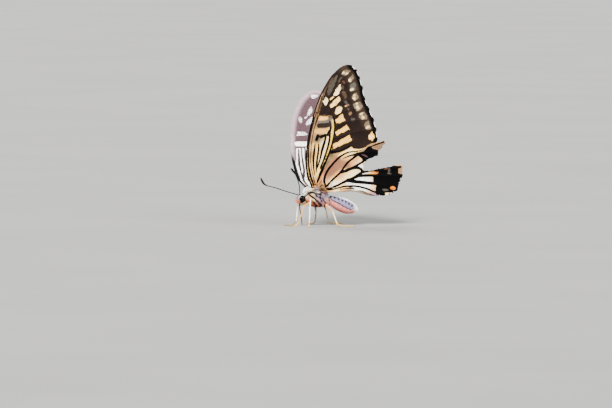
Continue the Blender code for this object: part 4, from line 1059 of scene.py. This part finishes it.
def make_camera():
    """The photographer's place: a long lens, a little above the insect and in front of its left side."""
    right = np.array((math.cos(AZIMUTH), math.sin(AZIMUTH), 0.0))
    back = np.array((math.sin(AZIMUTH) * math.cos(ELEVATION), -math.cos(AZIMUTH) * math.cos(ELEVATION),
                     math.sin(ELEVATION)))
    up = np.cross(back, right)
    hinge = PLACE + np.array((0.0, -HINGE_HALF_WIDTH, 0.0))
    aim = (hinge + AIM_RIGHT * right + AIM_UP * up) * MM
    data = bpy.data.cameras.new("camera")
    data.lens, data.sensor_width = LENS, SENSOR
    data.clip_start, data.clip_end = 0.1, 100.0
    camera = bpy.data.objects.new("camera", data)
    camera.location = aim + back * CAMERA_DISTANCE
    camera.rotation_mode = "QUATERNION"
    camera.rotation_quaternion = Vector(-back).to_track_quat("-Z", "Y")
    bpy.context.scene.collection.objects.link(camera)
    bpy.context.scene.camera = camera


def make_floor():
    bpy.ops.mesh.primitive_plane_add(size=FLOOR_SIZE)
    floor = bpy.context.active_object
    floor.name = "floor"
    shader = Shader("floor", 0.75, 0.2)
    place = shader.node("ShaderNodeTexCoord").outputs["Object"]
    cloud = shader.step(shader.noise(place, 9.0, 3.0), 0.3, 0.7)
    shader.colour(shader.mix(cloud, (0.138, 0.140, 0.138, 1.0), (0.149, 0.151, 0.148, 1.0)))
    floor.data.materials.append(shader.material)


def add_sun(name, azimuth, elevation, softness, strength, colour):
    """A distant light. Azimuth counts from the insect's left side towards its head."""
    data = bpy.data.lights.new(name, "SUN")
    data.energy, data.color, data.angle = strength, colour, math.radians(softness)
    turn, rise = math.radians(azimuth), math.radians(elevation)
    place = Vector((-math.sin(turn) * math.cos(rise), -math.cos(turn) * math.cos(rise), math.sin(rise)))
    light = bpy.data.objects.new(name, data)
    light.rotation_mode = "QUATERNION"
    light.rotation_quaternion = place.to_track_quat("Z", "Y")
    bpy.context.scene.collection.objects.link(light)


def make_lights():
    add_sun("key", 35.0, 42.0, 20.0, 17.0, (1.0, 0.97, 0.92))
    add_sun("fill", -35.0, 25.0, 40.0, 4.5, (0.93, 0.96, 1.0))
    add_sun("back", 165.0, 50.0, 30.0, 4.5, (1.0, 0.98, 0.95))
    world = bpy.data.worlds.new("studio")
    world.use_nodes = True
    background = world.node_tree.nodes["Background"]
    background.inputs["Color"].default_value = (0.98, 1.0, 0.99, 1.0)
    background.inputs["Strength"].default_value = 0.95
    bpy.context.scene.world = world


def smooth_max(first, second, soft):
    """The larger of two numbers, with a soft step between them."""
    share = np.clip(0.5 + 0.5 * (first - second) / soft, 0.0, 1.0)
    return second + (first - second) * share + soft * share * (1.0 - share)


def body_line():
    """Evenly read stations along the skin: place x, middle z, half width, half height."""
    line = curve(SKIN_STATIONS, 0.03)
    reach = np.concatenate([[0.0], np.linalg.norm(np.diff(line, axis=0), axis=1).cumsum()])
    at = np.linspace(0.0, reach[-1], SKIN_RINGS)
    return np.stack([np.interp(at, reach, line[:, column]) for column in range(4)], 1)


def segment_relief(place):
    """How far the abdomen's rings stand out or draw in along its length."""
    share = (place - ABDOMEN_START) / (ABDOMEN_END - ABDOMEN_START) * ABDOMEN_SEGMENTS
    part = share - np.floor(share)
    relief = 0.07 * part ** 2 - SEGMENT_GROOVE * np.exp(-(np.minimum(part, 1.0 - part) / 0.07) ** 2)
    return np.where((share > 0.1) & (share < ABDOMEN_SEGMENTS - 0.3), relief, 0.0)


def body_grid():
    """The skin's points as rings by sides, on the upright body."""
    line = body_line()
    angle = math.tau * np.arange(SKIN_SIDES) / SKIN_SIDES - math.pi / 2
    across, up = np.cos(angle), np.sin(angle)
    across = np.sign(across) * np.abs(across) ** (2.0 / SKIN_SQUARENESS)
    up = np.sign(up) * np.abs(up) ** (2.0 / SKIN_SQUARENESS)
    relief = segment_relief(line[:, 0])[:, None]
    grid = np.empty((SKIN_RINGS, SKIN_SIDES, 3))
    grid[..., 0] = line[:, 0, None]
    grid[..., 1] = across * (line[:, 2, None] + relief)
    grid[..., 2] = line[:, 1, None] + up * (line[:, 3, None] + relief)
    for side in SIDE_NAMES:
        for chord, span, lift, radius in SOCKETS:
            grid = swollen(grid, wing_place(side, chord, span, lift), radius)
        grid = hollowed(grid, side)
    return grid


def swollen(grid, middle, radius):
    """Push the skin out over a ball at a wing's root."""
    middle = rolled(middle, BODY_ROLL)
    away = grid - middle
    distance = np.linalg.norm(away, axis=2, keepdims=True)
    out = smooth_max(distance, radius, SOCKET_BLEND)
    near = distance < radius * SOCKET_REACH
    return np.where(near, middle + away / np.maximum(distance, 1e-6) * out, grid)


def hollowed(grid, side):
    """Press the skin in round an eye."""
    middle = np.array(mirrored(EYE_MIDDLE, side))
    share = (grid - middle) / (np.array(EYE_HALF) * EYE_HOLLOW)
    flat = share[..., 0] ** 2 + share[..., 2] ** 2
    depth = np.sqrt(np.maximum(1.0 - flat, 0.0))
    inner = middle[1] - side * depth * EYE_HALF[1] * EYE_HOLLOW
    pressed = (flat < 1.0) & (side * grid[..., 1] > side * inner)
    grid = grid.copy()
    grid[..., 1] = np.where(pressed, inner, grid[..., 1])
    return grid


def body_marks(points):
    """Ground shade, ink depth, ink shade and stray scales of the skin and its coat."""
    side_view = points[:, [0, 2]]
    ground = ground_at(side_view, BODY_GROUND, BODY_GROUND_REACH)
    place, height = points[:, 0], points[:, 2]
    middle = table_at(MIDDLE_LINE, place)
    half = table_at(BACK_LINE, place) - middle
    tone = mixed(SHADE["salmon"], SHADE["lavender"], eased(height - table_at(SIDE_LINE, place), -0.2, 0.2))
    # Painted highlight: the top of the abdomen is painted white where the light from above falls on it.
    tone = mixed(tone, SHADE["chalk"], eased((height - middle) / half, TOP_HIGHLIGHT_SHARE - 0.1, TOP_HIGHLIGHT_SHARE + 0.06))
    tone = mixed(tone, SHADE["white"], eased(place, 15.0, 17.0))
    ground = mixed(ground, tone, eased(place, 5.6, 6.4))
    ink = in_strokes(side_view, BODY_INK.values())
    for dot in ABDOMEN_DOTS:
        ink = np.maximum(ink, DOT_RADIUS - np.linalg.norm(side_view - np.array(dot), axis=1))
    stripe = table_at(BACK_STRIPE, place) - np.abs(points[:, 1])
    ink = np.maximum(ink, np.where(height < middle, NO_INK, stripe))
    ink_shade = mixed(SHADE["charcoal"], SHADE["slate"], 0.6 * eased(place, 5.8, 6.6))
    return ground, ink, ink_shade, np.full(len(points), 0.03)


def grid_faces(rings, sides):
    """The four-sided faces of a tube, between one ring of points and the next."""
    ring, number = np.meshgrid(np.arange(rings - 1), np.arange(sides), indexing="ij")
    after = (number + 1) % sides
    low, high = ring * sides, (ring + 1) * sides
    return np.stack([low + number, low + after, high + after, high + number], 2).reshape(-1, 4)


def lidded_faces(rings, sides):
    """The same with a lid on each end."""
    last = (rings - 1) * sides
    return grid_faces(rings, sides).tolist() + [list(range(sides))[::-1], list(range(last, last + sides))]


def make_skin(grid, material):
    """One skin over head, thorax and abdomen."""
    points = grid.reshape(-1, 3)
    thing = new_piece("body_skin", rolled(points), lidded_faces(SKIN_RINGS, SKIN_SIDES), material)
    face_outwards(thing)
    ground, ink, ink_shade, dust = body_marks(points)
    give_values(thing, ground=ground, ink=ink, ink_shade=ink_shade, dust=dust, at_scale=points)
    dress(thing, "body_hair", "head", "thorax", "abdomen")


def scattered(grid, count, allowed, rng):
    """Random places on the skin: point, normal, direction to the tail, and place on the unwrapped skin."""
    rings, sides = grid.shape[:2]
    across = np.roll(grid, -1, axis=1) - grid
    along = np.vstack([np.diff(grid, axis=0), np.zeros((1, sides, 3))])
    area = np.linalg.norm(np.cross(across, along), axis=2) * allowed(grid)
    pick = rng.choice(area.size, count, p=(area / area.sum()).ravel())
    ring, number = np.unravel_index(pick, area.shape)
    move = rng.random((count, 2))
    point = grid[ring, number] + across[ring, number] * move[:, :1] + along[ring, number] * move[:, 1:]
    normal = unit(np.cross(across[ring, number], along[ring, number]))
    spine = np.stack([point[:, 0], np.zeros(count), table_at(MIDDLE_LINE, point[:, 0])], 1)
    normal *= np.sign((normal * (point - spine)).sum(1))[:, None]
    unwrapped = np.stack([(number + move[:, 0]) / sides, (ring + move[:, 1]) / rings], 1)
    return point, normal, unit(along[ring, number]), 0.01 + 0.98 * unwrapped


def unit(vectors):
    return vectors / (np.linalg.norm(vectors, axis=-1, keepdims=True) + 1e-9)


def make_tufts(name, places, size, lift, shades, material, rng, blunt=0.75, on_body=True):
    """Thin closed tufts that lean along the given directions and bend back to the surface."""
    root, normal, along, unwrapped = places
    count = len(root)
    length, width = (np.asarray(value) * rng.uniform(0.7, 1.25, count) for value in size)
    along = unit(along - normal * (along * normal).sum(1)[:, None])
    side = np.cross(normal, along)
    along = unit(along + side * rng.normal(0.0, 0.22, count)[:, None])
    side = np.cross(normal, along)
    rise = np.asarray(lift) * rng.uniform(0.6, 1.4, count)
    first = along * np.cos(rise)[:, None] + normal * np.sin(rise)[:, None]
    second = along * np.cos(rise * 0.35)[:, None] + normal * np.sin(rise * 0.35)[:, None]
    start = root - normal * 0.03
    middle = start + first * (length * 0.5)[:, None]
    tip = middle + second * (length * 0.5)[:, None]
    half, thick = (width / 2)[:, None], (width / 3)[:, None]
    points = np.stack([start - side * half * blunt, start + side * half * blunt, start + normal * thick,
                       middle - side * half, middle + side * half, middle + normal * thick, tip], 1)
    shape = np.array(((0, 1, 4), (0, 4, 3), (1, 2, 5), (1, 5, 4), (2, 0, 3), (2, 3, 5),
                      (3, 4, 6), (4, 5, 6), (5, 3, 6), (0, 2, 1)))
    faces = (np.arange(count)[:, None, None] * TUFT_POINTS + shape[None]).reshape(-1, 3)
    flat = points.reshape(-1, 3)
    thing = new_piece(name, rolled(flat) if on_body else flat, faces, material)
    shades = shades * rng.uniform(0.82, 1.08, count)[:, None]
    give_values(thing, ground=np.repeat(shades, TUFT_POINTS, axis=0), at_scale=flat)
    corner = np.array(((-1, -1), (1, -1), (0, -0.6), (-1, 0.2), (1, 0.2), (0, 0.5), (0, 1))) * 0.0015
    spots = (unwrapped[:, None] + corner[None]).reshape(-1, 2)
    give_map(thing, spots[faces.ravel()])
    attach(thing, "root")


def hair_material(name, roughness):
    shader = Shader(name, roughness, 0.15)
    place = shader.attribute("at_scale", "Vector")
    streak = shader.step(shader.noise(place, 9.0, 2.0), 0.3, 0.7)
    shader.colour(shader.tinted(streak, shader.attribute("ground", "Color"), (0.8, 0.79, 0.78, 1.0)))
    shader.surface.inputs["Sheen Weight"].default_value = 0.05
    return shader.material


def coat_shades(points):
    ground, ink, ink_shade, _ = body_marks(points)
    return mixed(ground, ink_shade, eased(ink, -0.05, 0.05))


def make_coat(grid, material):
    """Long hair on the thorax, short hair on the head, flat scales on the abdomen."""
    rng = np.random.default_rng(SEED + 1)

    def thorax(places):
        return (places[..., 0] > THORAX_COAT_START) & (places[..., 0] < THORAX_COAT_END)

    def head(places):
        left, right = (np.linalg.norm((places - mirrored(EYE_MIDDLE, side)) / EYE_HALF, axis=-1)
                       for side in SIDE_NAMES)
        return (places[..., 0] <= HEAD_COAT_END) & (np.minimum(left, right) > EYE_BARE)

    def abdomen(places):
        return places[..., 0] > ABDOMEN_COAT_START

    places = scattered(grid, THORAX_TUFTS, thorax, rng)
    below = eased(-places[0][:, 2], 3.5, 6.0)
    make_tufts("coat_thorax", places, (0.5 + 0.4 * below, 0.055), 0.34 + 0.2 * below,
               coat_shades(places[0]), material, rng)
    places = scattered(grid, HEAD_TUFTS, head, rng)
    make_tufts("coat_head", places, (0.45, 0.045), 0.5, coat_shades(places[0]), material, rng)
    places = scattered(grid, ABDOMEN_TUFTS, abdomen, rng)
    make_tufts("coat_abdomen", places, (0.42, 0.13), 0.14, coat_shades(places[0]), material,
               rng, blunt=0.5)


def make_mane(grid, material):
    """Long pale hair on the collar and over the roots of the wings."""
    rng = np.random.default_rng(SEED + 70)
    arc = BODY_INK["collar_arc"][0]

    def above_arc(places):
        place, height = places[..., 0], places[..., 2]
        clear = height - table_at(arc, place) > MANE_CLEARANCE
        low = (place > MANE_TURN) & (height < MANE_TURN_HEIGHT - MANE_FALL * (place - MANE_TURN))
        return (place > MANE_START) & (place < MANE_END) & clear & ~low

    root, normal, tail, unwrapped = scattered(grid, MANE_TUFTS, above_arc, rng)
    sideways = np.sign(root[:, 1])[:, None] * np.array((0.0, 1.0, 0.0))
    along = tail + sideways * eased(np.abs(root[:, 1]), 0.8, 2.2)[:, None]
    along = along + rng.normal(0.0, 0.2, root.shape)
    front = eased(-root[:, 0], 0.6, 1.8)
    shades = mixed(SHADE["milk"], SHADE["chalk"], eased(rng.random(len(root)), 0.2, 0.6))
    dark = (1.0 - front) * eased(-np.abs(root[:, 1]), -1.3, -0.9)
    shades = mixed(shades, SHADE["charcoal"], np.maximum(dark, 0.8 * (rng.random(len(root)) < 0.12)))
    make_tufts("coat_mane", (root, normal, along, unwrapped), (0.9 + 0.5 * front, 0.06), 0.35 + 0.4 * front,
               shades, material, rng)


def inset(shares):
    """Shares of a bake map's width and height, drawn in from its edges."""
    return MAP_INSET + (1.0 - 2 * MAP_INSET) * shares


def orbit_places(side, rng, count):
    """Places on the head round an eye, leaning outward over its rim."""
    middle, half = np.array(mirrored(EYE_MIDDLE, side)), np.array(EYE_HALF)
    angle = rng.uniform(0.0, math.tau, count)
    around = np.stack([np.cos(angle), np.zeros(count), np.sin(angle)], 1)
    reach = rng.uniform(1.0, 1.06, count)
    depth = -side * rng.uniform(0.05, 0.3, count) * half[1]
    root = middle + around * half * reach[:, None] + np.outer(depth, (0.0, 1.0, 0.0))
    outward = np.tile((0.0, float(side), 0.0), (count, 1))
    unwrapped = inset(np.stack([angle / math.tau, rng.random(count)], 1))
    return (root, unit(around + outward * 0.15), unit(outward + around * 0.1), unwrapped), angle


def make_orbit(side, material):
    """A ring of pale scales round an eye, white in front and above, tawny below."""
    rng = np.random.default_rng(SEED + 50 + side)
    places, angle = orbit_places(side, rng, ORBIT_TUFTS)
    shades = mixed(SHADE["white"], SHADE["apricot"], eased(-np.sin(angle), 0.45, 0.8))
    make_tufts("orbit_" + SIDE_NAMES[side], places, (0.28, 0.06), 0.12, shades, material, rng)


def margin_places(margin, rng):
    """Places along a scalloped margin, the way out there, and the share of the way between two vein ends."""
    roots, outs, shares = [], [], []
    for start, along, inward in bays(margin):
        count = int(np.linalg.norm(along) / FRINGE_SPACING)
        share = (np.arange(count) + rng.random(count)) / count
        bay = (SCALLOP * np.sin(math.pi * share) ** 0.8 + 0.1)[:, None]
        roots.append(start + along * share[:, None] + inward * bay)
        outs.append(np.tile(-inward, (count, 1)))
        shares.append(share)
    return np.vstack(roots), np.vstack(outs), np.concatenate(shares)


def wing_tufts(side, flat, ahead, lift, start, rise):
    """Root, normal, direction and bake place of tufts on a wing, from where they start above its sheet."""
    here = wing_place(side, flat[:, 0], flat[:, 1], lift + start)
    there = wing_place(side, flat[:, 0] + ahead[..., 0], flat[:, 1] + ahead[..., 1], lift)
    above = wing_place(side, flat[:, 0], flat[:, 1], lift + rise)
    low, high = flat.min(0), flat.max(0)
    return here, unit(above - here), unit(there - here), inset((flat - low) / (high - low))


def make_fringes(side, material):
    """The cilia of both wings' edges: pale in the bays, dark where the veins end."""
    rng = np.random.default_rng(SEED + 40 + side)
    for wing, margin, lift_at in (("fore", FORE_MARGIN, fore_lift), ("hind", HIND_MARGIN, hind_lift)):
        roots, outs, shares = margin_places(margin, rng)
        shades = mixed(SHADE["black"], SHADE["chalk"], eased(np.sin(math.pi * shares), 0.6, 0.8))
        places = wing_tufts(side, roots, outs, lift_at(roots), 0.0, 1.0)
        make_tufts("fringe_{}_{}".format(wing, SIDE_NAMES[side]), places, (0.3, 0.075), 0.02, shades,
                   material, rng, on_body=False)


def sweep(line, radii, sides=TUBE_SIDES):
    """A closed round tube along a line. Returns points, faces, and each point's share of the length."""
    line = np.asarray(line, float)
    tangent = unit(np.gradient(line, axis=0))
    across = unit(np.cross(tangent[0], (0.31, 0.17, 0.93)))
    rings = []
    for place, ahead, radius in zip(line, tangent, radii):
        across = unit(across - ahead * float(across @ ahead))
        other = np.cross(ahead, across)
        angle = math.tau * np.arange(sides)[:, None] / sides
        rings.append(place + (np.cos(angle) * across + np.sin(angle) * other) * radius)
    points = np.vstack([*rings, line[:1], line[-1:]])
    faces = grid_faces(len(line), sides).tolist()
    first, last, start = len(points) - 2, len(points) - 1, (len(line) - 1) * sides
    faces += [[first, (number + 1) % sides, number] for number in range(sides)]
    faces += [[last, start + number, start + (number + 1) % sides] for number in range(sides)]
    share = np.concatenate([np.repeat(np.linspace(0, 1, len(line)), sides), (0.0, 1.0)])
    return points, faces, share


def round_ends(line, radii):
    """The line and its radii with a rounded cap at both ends."""
    line, radii = np.asarray(line, float), np.asarray(radii, float)
    bulge = np.sin(np.linspace(0.08, math.pi / 2, 5)[:-1])
    reach = 1.0 - np.cos(np.linspace(0.08, math.pi / 2, 5)[:-1])
    begin, finish = unit(line[1] - line[0]), unit(line[-1] - line[-2])
    head = line[0] - begin * (radii[0] * 0.8 * (1.0 - reach))[:, None]
    tail = line[-1] + finish * (radii[-1] * 0.8 * (1.0 - reach[::-1]))[:, None]
    return np.vstack([head, line, tail]), np.concatenate([radii[0] * bulge, radii, radii[-1] * bulge[::-1]])


def merged(parts):
    """Several closed shapes in one list of points, faces and shades."""
    points, faces, shades, count = [], [], [], 0
    for part_points, part_faces, part_shades in parts:
        points.append(part_points)
        faces += [[index + count for index in face] for face in part_faces]
        shades.append(part_shades)
        count += len(part_points)
    return np.vstack(points), faces, np.vstack(shades)


def spike(root, direction, length, radius, shade):
    """A thin curved spine or claw."""
    droop = np.array((0.0, 0.0, -0.12 * length))
    share = np.linspace(0.0, 1.0, 4)[:, None]
    line = root + direction * length * share + droop * share ** 2
    points, faces, _ = sweep(line, radius * np.array((1.0, 0.8, 0.5, 0.08)), 6)
    return points, faces, np.tile(shade, (len(points), 1))


def limb_part(path, radii, first_shade, last_shade):
    """One joint of a leg between two shades, swelling and thinning with the radii."""
    line = curve(path, 0.15)
    share = np.linspace(0.0, 1.0, len(line))
    points, faces, place = sweep(*round_ends(line, spread(radii, share)))
    return points, faces, mixed(first_shade, last_shade, place)


def make_leg(pair, side, material):
    """A leg of femur, tibia and five foot joints, with spurs, spines and two claws."""
    rng = np.random.default_rng(SEED + 7)
    hip, knee, ankle = (np.array(place) for place in LEGS[pair, side][:3])
    heel, toe = (np.array((*place, FOOT_HEIGHT - HINGE_HEIGHT)) for place in LEGS[pair, side][3:])
    thigh, shin, foot = (SHADE[name] for name in LEG_SHADES[pair, side])
    dark = SHADE["umber"]
    parts = [limb_part((hip, (hip + knee) / 2, knee), FEMUR_RADII, thigh, thigh),
             limb_part((knee, (knee + ankle) / 2, ankle), TIBIA_RADII, shin, shin)]
    track = curve((ankle, heel, (heel + toe) / 2, toe), 0.1)
    reach = np.linspace(0.0, 1.0, len(track))

    def at(share):
        return np.array([np.interp(share, reach, track[:, axis]) for axis in range(3)])

    for start, end in zip(TARSUS_SHARES, TARSUS_SHARES[1:]):
        joint = [at(start + (end - start) * share) for share in (0.04, 0.5, 0.96)]
        thick = TARSUS_RADIUS * np.array((0.72, 0.85, 1.0))
        parts.append(limb_part(joint, thick, foot, mixed(foot, dark, np.array(0.25))))
    shin_way, foot_way = unit(ankle - knee), unit(toe - heel)
    around = unit(np.cross(shin_way, (0.2, 0.9, 0.3)))
    for number in range(SHIN_SPINES):
        turn = rng.uniform(0.0, math.tau)
        other = np.cross(shin_way, around)
        out = around * math.cos(turn) + other * math.sin(turn)
        root = knee + (ankle - knee) * rng.uniform(0.25, 0.95) + out * TIBIA_RADII[1] * 0.7
        parts.append(spike(root, unit(out + shin_way * 1.2), 0.42, 0.035, dark))
    if pair != "fore":
        for turn in (-0.5, 0.5):
            out = unit(shin_way + around * turn)
            parts.append(spike(ankle, out, 1.3, 0.09, mixed(shin, dark, np.array(0.3))))
    level = np.cross(foot_way, (0.0, 0.0, 1.0))
    for number in range(FOOT_SPINES):
        sign = 1 if number % 2 else -1
        root = at(0.15 + 0.8 * number / FOOT_SPINES) + level * sign * TARSUS_RADIUS * 0.7
        parts.append(spike(root, unit(level * sign + foot_way * 1.4), 0.24, 0.022, dark))
    for sign in (-1, 1):
        claw_way = unit(foot_way + level * sign * 0.45)
        parts.append(spike(toe + level * sign * 0.08, claw_way, 0.5, 0.07, dark))
    points, faces, shades = merged(parts)
    points[:, 2] = np.maximum(points[:, 2], -HINGE_HEIGHT + 0.005)
    label = "_{}_{}".format(pair, SIDE_NAMES[side])
    thing = new_piece("leg" + label, points, faces, material)
    give_plain_paint(thing, points, shades, 0.3, 0.02)
    dress(thing, "leg", "femur" + label, "tibia" + label, "tarsus" + label)


def make_leg_hair(pair, side, material):
    """Short flat hair along a leg's femur and tibia."""
    rng = np.random.default_rng(SEED + 60)
    hip, knee, ankle = (np.array(place) for place in LEGS[pair, side][:3])
    roots, normals, ways, shades, spots = [], [], [], [], []
    thigh, shin, _ = LEG_SHADES[pair, side]
    limbs = ((hip, knee, FEMUR_RADII, thigh), (knee, ankle, TIBIA_RADII, shin))
    for number, (start, end, radii, name) in enumerate(limbs):
        share = rng.uniform(0.02, 0.98, LEG_HAIRS)
        way = unit(end - start)
        across = unit(np.cross(way, (0.2, 0.9, 0.3)))
        turn = rng.uniform(0.0, math.tau, LEG_HAIRS)[:, None]
        out = np.cos(turn) * across + np.sin(turn) * np.cross(way, across)
        roots.append(start + (end - start) * share[:, None] + out * spread(radii, share)[:, None])
        normals.append(out)
        ways.append(np.tile(way, (LEG_HAIRS, 1)))
        shades.append(mixed(SHADE[name], SHADE["umber"], 0.35 * (rng.random(LEG_HAIRS) < 0.25)))
        spots.append(inset(np.stack([(number + share) / 2.0, turn[:, 0] / math.tau], 1)))
    places = (np.vstack(roots), np.vstack(normals), np.vstack(ways), np.vstack(spots))
    make_tufts("hair_leg_{}_{}".format(pair, SIDE_NAMES[side]), places, (0.26, 0.04), 0.3,
               np.vstack(shades), material, rng, on_body=False)


def make_antenna(side, material):
    """A ringed shaft that swells to a club, black with a slightly paler tip."""
    path = [rolled(ANTENNA_PATHS[side][0]), *map(np.array, ANTENNA_PATHS[side][1:])]
    line = curve(path, 0.06)
    share = np.linspace(0.0, 1.0, len(line))
    swell = eased(share, CLUB_START, CLUB_FULL) - CLUB_TAPER * eased(share, CLUB_FULL, 1.0)
    joints = 0.5 + 0.5 * np.cos(share * math.tau * ANTENNA_JOINTS)
    radii = (SHAFT_RADIUS + (CLUB_RADIUS - SHAFT_RADIUS) * swell) * (1.0 - 0.1 * joints ** 4)
    points, faces, place = sweep(*round_ends(line, radii), sides=18)
    shades = mixed(SHADE["charcoal"], SHADE["tan"], 0.3 * eased(place, 0.94, 1.0))
    name = "antenna_" + SIDE_NAMES[side]
    thing = new_piece(name, points, faces, material)
    give_plain_paint(thing, points, shades, 0.5, 0.1)
    dress(thing, "antenna", name)


def make_lobe(name, path, radii, shade_at, count, length, material, hair, seed, *nodes):
    """A rounded lobe with a brush of short hair, shaded along its length."""
    rng = np.random.default_rng(seed)
    line = curve(path, 0.08)
    share = np.linspace(0.0, 1.0, len(line))
    line, radii = round_ends(line, spread(radii, share))
    points, faces, place = sweep(line, radii, LOBE_SIDES)
    shades = shade_at(place)
    thing = new_piece(name, rolled(points), faces, material)
    give_plain_paint(thing, points, shades, 0.3, 0.03)
    dress(thing, "body_hair", *nodes)
    pick = rng.integers(3 * LOBE_SIDES, (len(line) - 3) * LOBE_SIDES, count)
    ring, turn = pick // LOBE_SIDES, pick % LOBE_SIDES
    tangent = unit(np.gradient(line, axis=0))[ring]
    normal = unit(points[pick] - line[ring])
    unwrapped = inset(np.stack([(turn + rng.random(count)) / LOBE_SIDES, ring / len(line)], 1))
    root = points[pick] + tangent * rng.uniform(-0.04, 0.04, count)[:, None]
    make_tufts("coat_" + name, (root, normal, tangent, unwrapped), (length, length * 0.15), 0.3,
               shades[pick], hair, rng)


def make_palp(side, material, hair):
    """An upturned palp, coral at its root and pale mauve at its tip."""
    def shade_at(place):
        return mixed(SHADE["coral"], SHADE["pale_mauve"], eased(place, 0.45, 0.75))

    name = "palp_" + SIDE_NAMES[side]
    path = [mirrored(point, side) for point in PALP_PATH]
    make_lobe(name, path, PALP_RADII, shade_at, PALP_TUFTS, 0.26, material, hair, SEED + 20 + side, name)


def make_tegula(side, material, hair):
    """The pale hairy lobe that covers a forewing's hinge, white on the right side."""
    def shade_at(place):
        if side == RIGHT:
            return np.tile(SHADE["chalk"], (len(place), 1))
        tone = mixed(SHADE["milk"], SHADE["pale_mauve"], eased(place, 0.2, 0.45))
        return mixed(tone, SHADE["apricot"], eased(place, 0.7, 0.9))

    make_lobe("tegula_" + SIDE_NAMES[side], TEGULA_PATHS[side], TEGULA_RADII, shade_at, TEGULA_TUFTS, 0.5,
              material, hair, SEED + 80 + side)


def make_proboscis(material):
    line = curve([rolled(point) for point in PROBOSCIS_PATH], 0.08)
    share = np.linspace(0.0, 1.0, len(line))
    radii = PROBOSCIS_RADIUS * (1.0 - 0.35 * share) * (1.0 - 0.06 * np.cos(share * math.tau * 45) ** 2)
    points, faces, place = sweep(*round_ends(line, radii), sides=20)
    thing = new_piece("proboscis", points, faces, material)
    give_plain_paint(thing, points, mixed(SHADE["black"], SHADE["umber"], place), 0.5, 0.05)
    dress(thing, "antenna", "proboscis")


def eye_material():
    """A dark gloss over fine facets, clouded with a faint brown."""
    shader = Shader("eye", 0.1, 0.05)
    place = shader.attribute("at_scale", "Vector")
    facet = shader.cells(place, 16.0, "Distance")
    cloud = shader.step(shader.noise(place, 1.6, 2.0), 0.45, 0.75)
    shader.colour(shader.mix(cloud, (0.001, 0.001, 0.0012, 1.0), (0.006, 0.004, 0.003, 1.0)))
    shader.bump(facet, 0.006 * MM, 0.35)
    return shader.material


def make_eye(side, material):
    tilt = np.linspace(0.02, math.pi - 0.02, EYE_RINGS)[:, None]
    angle = math.tau * np.arange(EYE_SIDES)[None] / EYE_SIDES
    ball = np.stack([np.sin(tilt) * np.cos(angle), side * np.cos(tilt) * np.ones_like(angle),
                     np.sin(tilt) * np.sin(angle)], 2).reshape(-1, 3)
    points = np.array(mirrored(EYE_MIDDLE, side)) + ball * EYE_HALF
    name = "eye_" + SIDE_NAMES[side]
    thing = new_piece(name, rolled(points), lidded_faces(EYE_RINGS, EYE_SIDES), material)
    face_outwards(thing)
    give_values(thing, at_scale=points)
    dress(thing, "eye", name)


def make_wing_hair(material):
    """Hair on the wings' roots and along the hindwings' inner edge."""
    rng = np.random.default_rng(SEED + 30)
    for side, word in SIDE_NAMES.items():
        fore_flat = rng.uniform((-1.2, 0.5), (1.8, 3.0), (FORE_ROOT_TUFTS, 2))
        hind_flat = rng.uniform((2.4, -0.8), (6.0, 3.2), (HIND_ROOT_TUFTS, 2))
        fore_flat = fore_flat[patch(fore_flat, forewing_outline(), False) > 0.05]
        hind_flat = hind_flat[patch(hind_flat, hindwing_outline(), False) > 0.05]
        inner = curve(HIND_INNER, 0.02)
        strip = inner[rng.integers(0, len(inner), HIND_EDGE_TUFTS)]
        strip = strip + rng.normal(0.0, 0.16, strip.shape)
        strip = strip[patch(strip, hindwing_outline(), False) > 0.02]
        for label, flat, lift_at, anchors, length, ahead in (
                ("fore_root", fore_flat, fore_lift, FORE_GROUND, 0.45, (0.1, 1.0)),
                ("hind_root", hind_flat, hind_lift, HIND_GROUND, 0.7, (1.0, 0.5)),
                ("hind_edge", strip, hind_lift, HIND_GROUND, 0.6, (1.0, -0.25))):
            face = rng.choice((-1.0, 1.0), len(flat))
            places = wing_tufts(side, flat, np.array(ahead), lift_at(flat), face * (SHEET_HALF + 0.02), face)
            make_tufts("hair_{}_{}".format(label, word), places, (length, 0.05), 0.16,
                       ground_at(flat, anchors, GROUND_REACH), material, rng, on_body=False)


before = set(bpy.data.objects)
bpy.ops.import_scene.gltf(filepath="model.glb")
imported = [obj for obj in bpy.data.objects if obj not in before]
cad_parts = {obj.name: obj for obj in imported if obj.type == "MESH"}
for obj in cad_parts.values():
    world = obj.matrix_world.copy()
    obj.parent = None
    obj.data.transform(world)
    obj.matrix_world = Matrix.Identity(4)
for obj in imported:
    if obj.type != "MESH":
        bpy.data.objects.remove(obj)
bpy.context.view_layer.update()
PLACE = hinge_place()
make_camera()
make_floor()
make_lights()
WING_PAINT = scaled_material("wing_scales", 0.7, 7.0, 0.26, 0.02)
BODY_PAINT = scaled_material("body_hair", 0.7, 9.0, 0.15, 0.02)
LIMB_PAINT = scaled_material("leg", 0.5, 12.0, 0.1, 0.01)
HORN_PAINT = scaled_material("antenna", 0.42, 14.0, 0.1, 0.01)
HAIR = hair_material("hair", 0.6)
EYE_PAINT = eye_material()
make_wings(WING_PAINT)
BODY = body_grid()
make_skin(BODY, BODY_PAINT)
make_coat(BODY, HAIR)
make_mane(BODY, HAIR)
for wing_side in SIDE_NAMES:
    make_eye(wing_side, EYE_PAINT)
    make_orbit(wing_side, HAIR)
    make_antenna(wing_side, HORN_PAINT)
    make_palp(wing_side, BODY_PAINT, HAIR)
    make_tegula(wing_side, BODY_PAINT, HAIR)
    for leg_pair in ("fore", "mid", "hind"):
        make_leg(leg_pair, wing_side, LIMB_PAINT)
        make_leg_hair(leg_pair, wing_side, HAIR)
    make_fringes(wing_side, HAIR)
make_proboscis(HORN_PAINT)
make_wing_hair(HAIR)
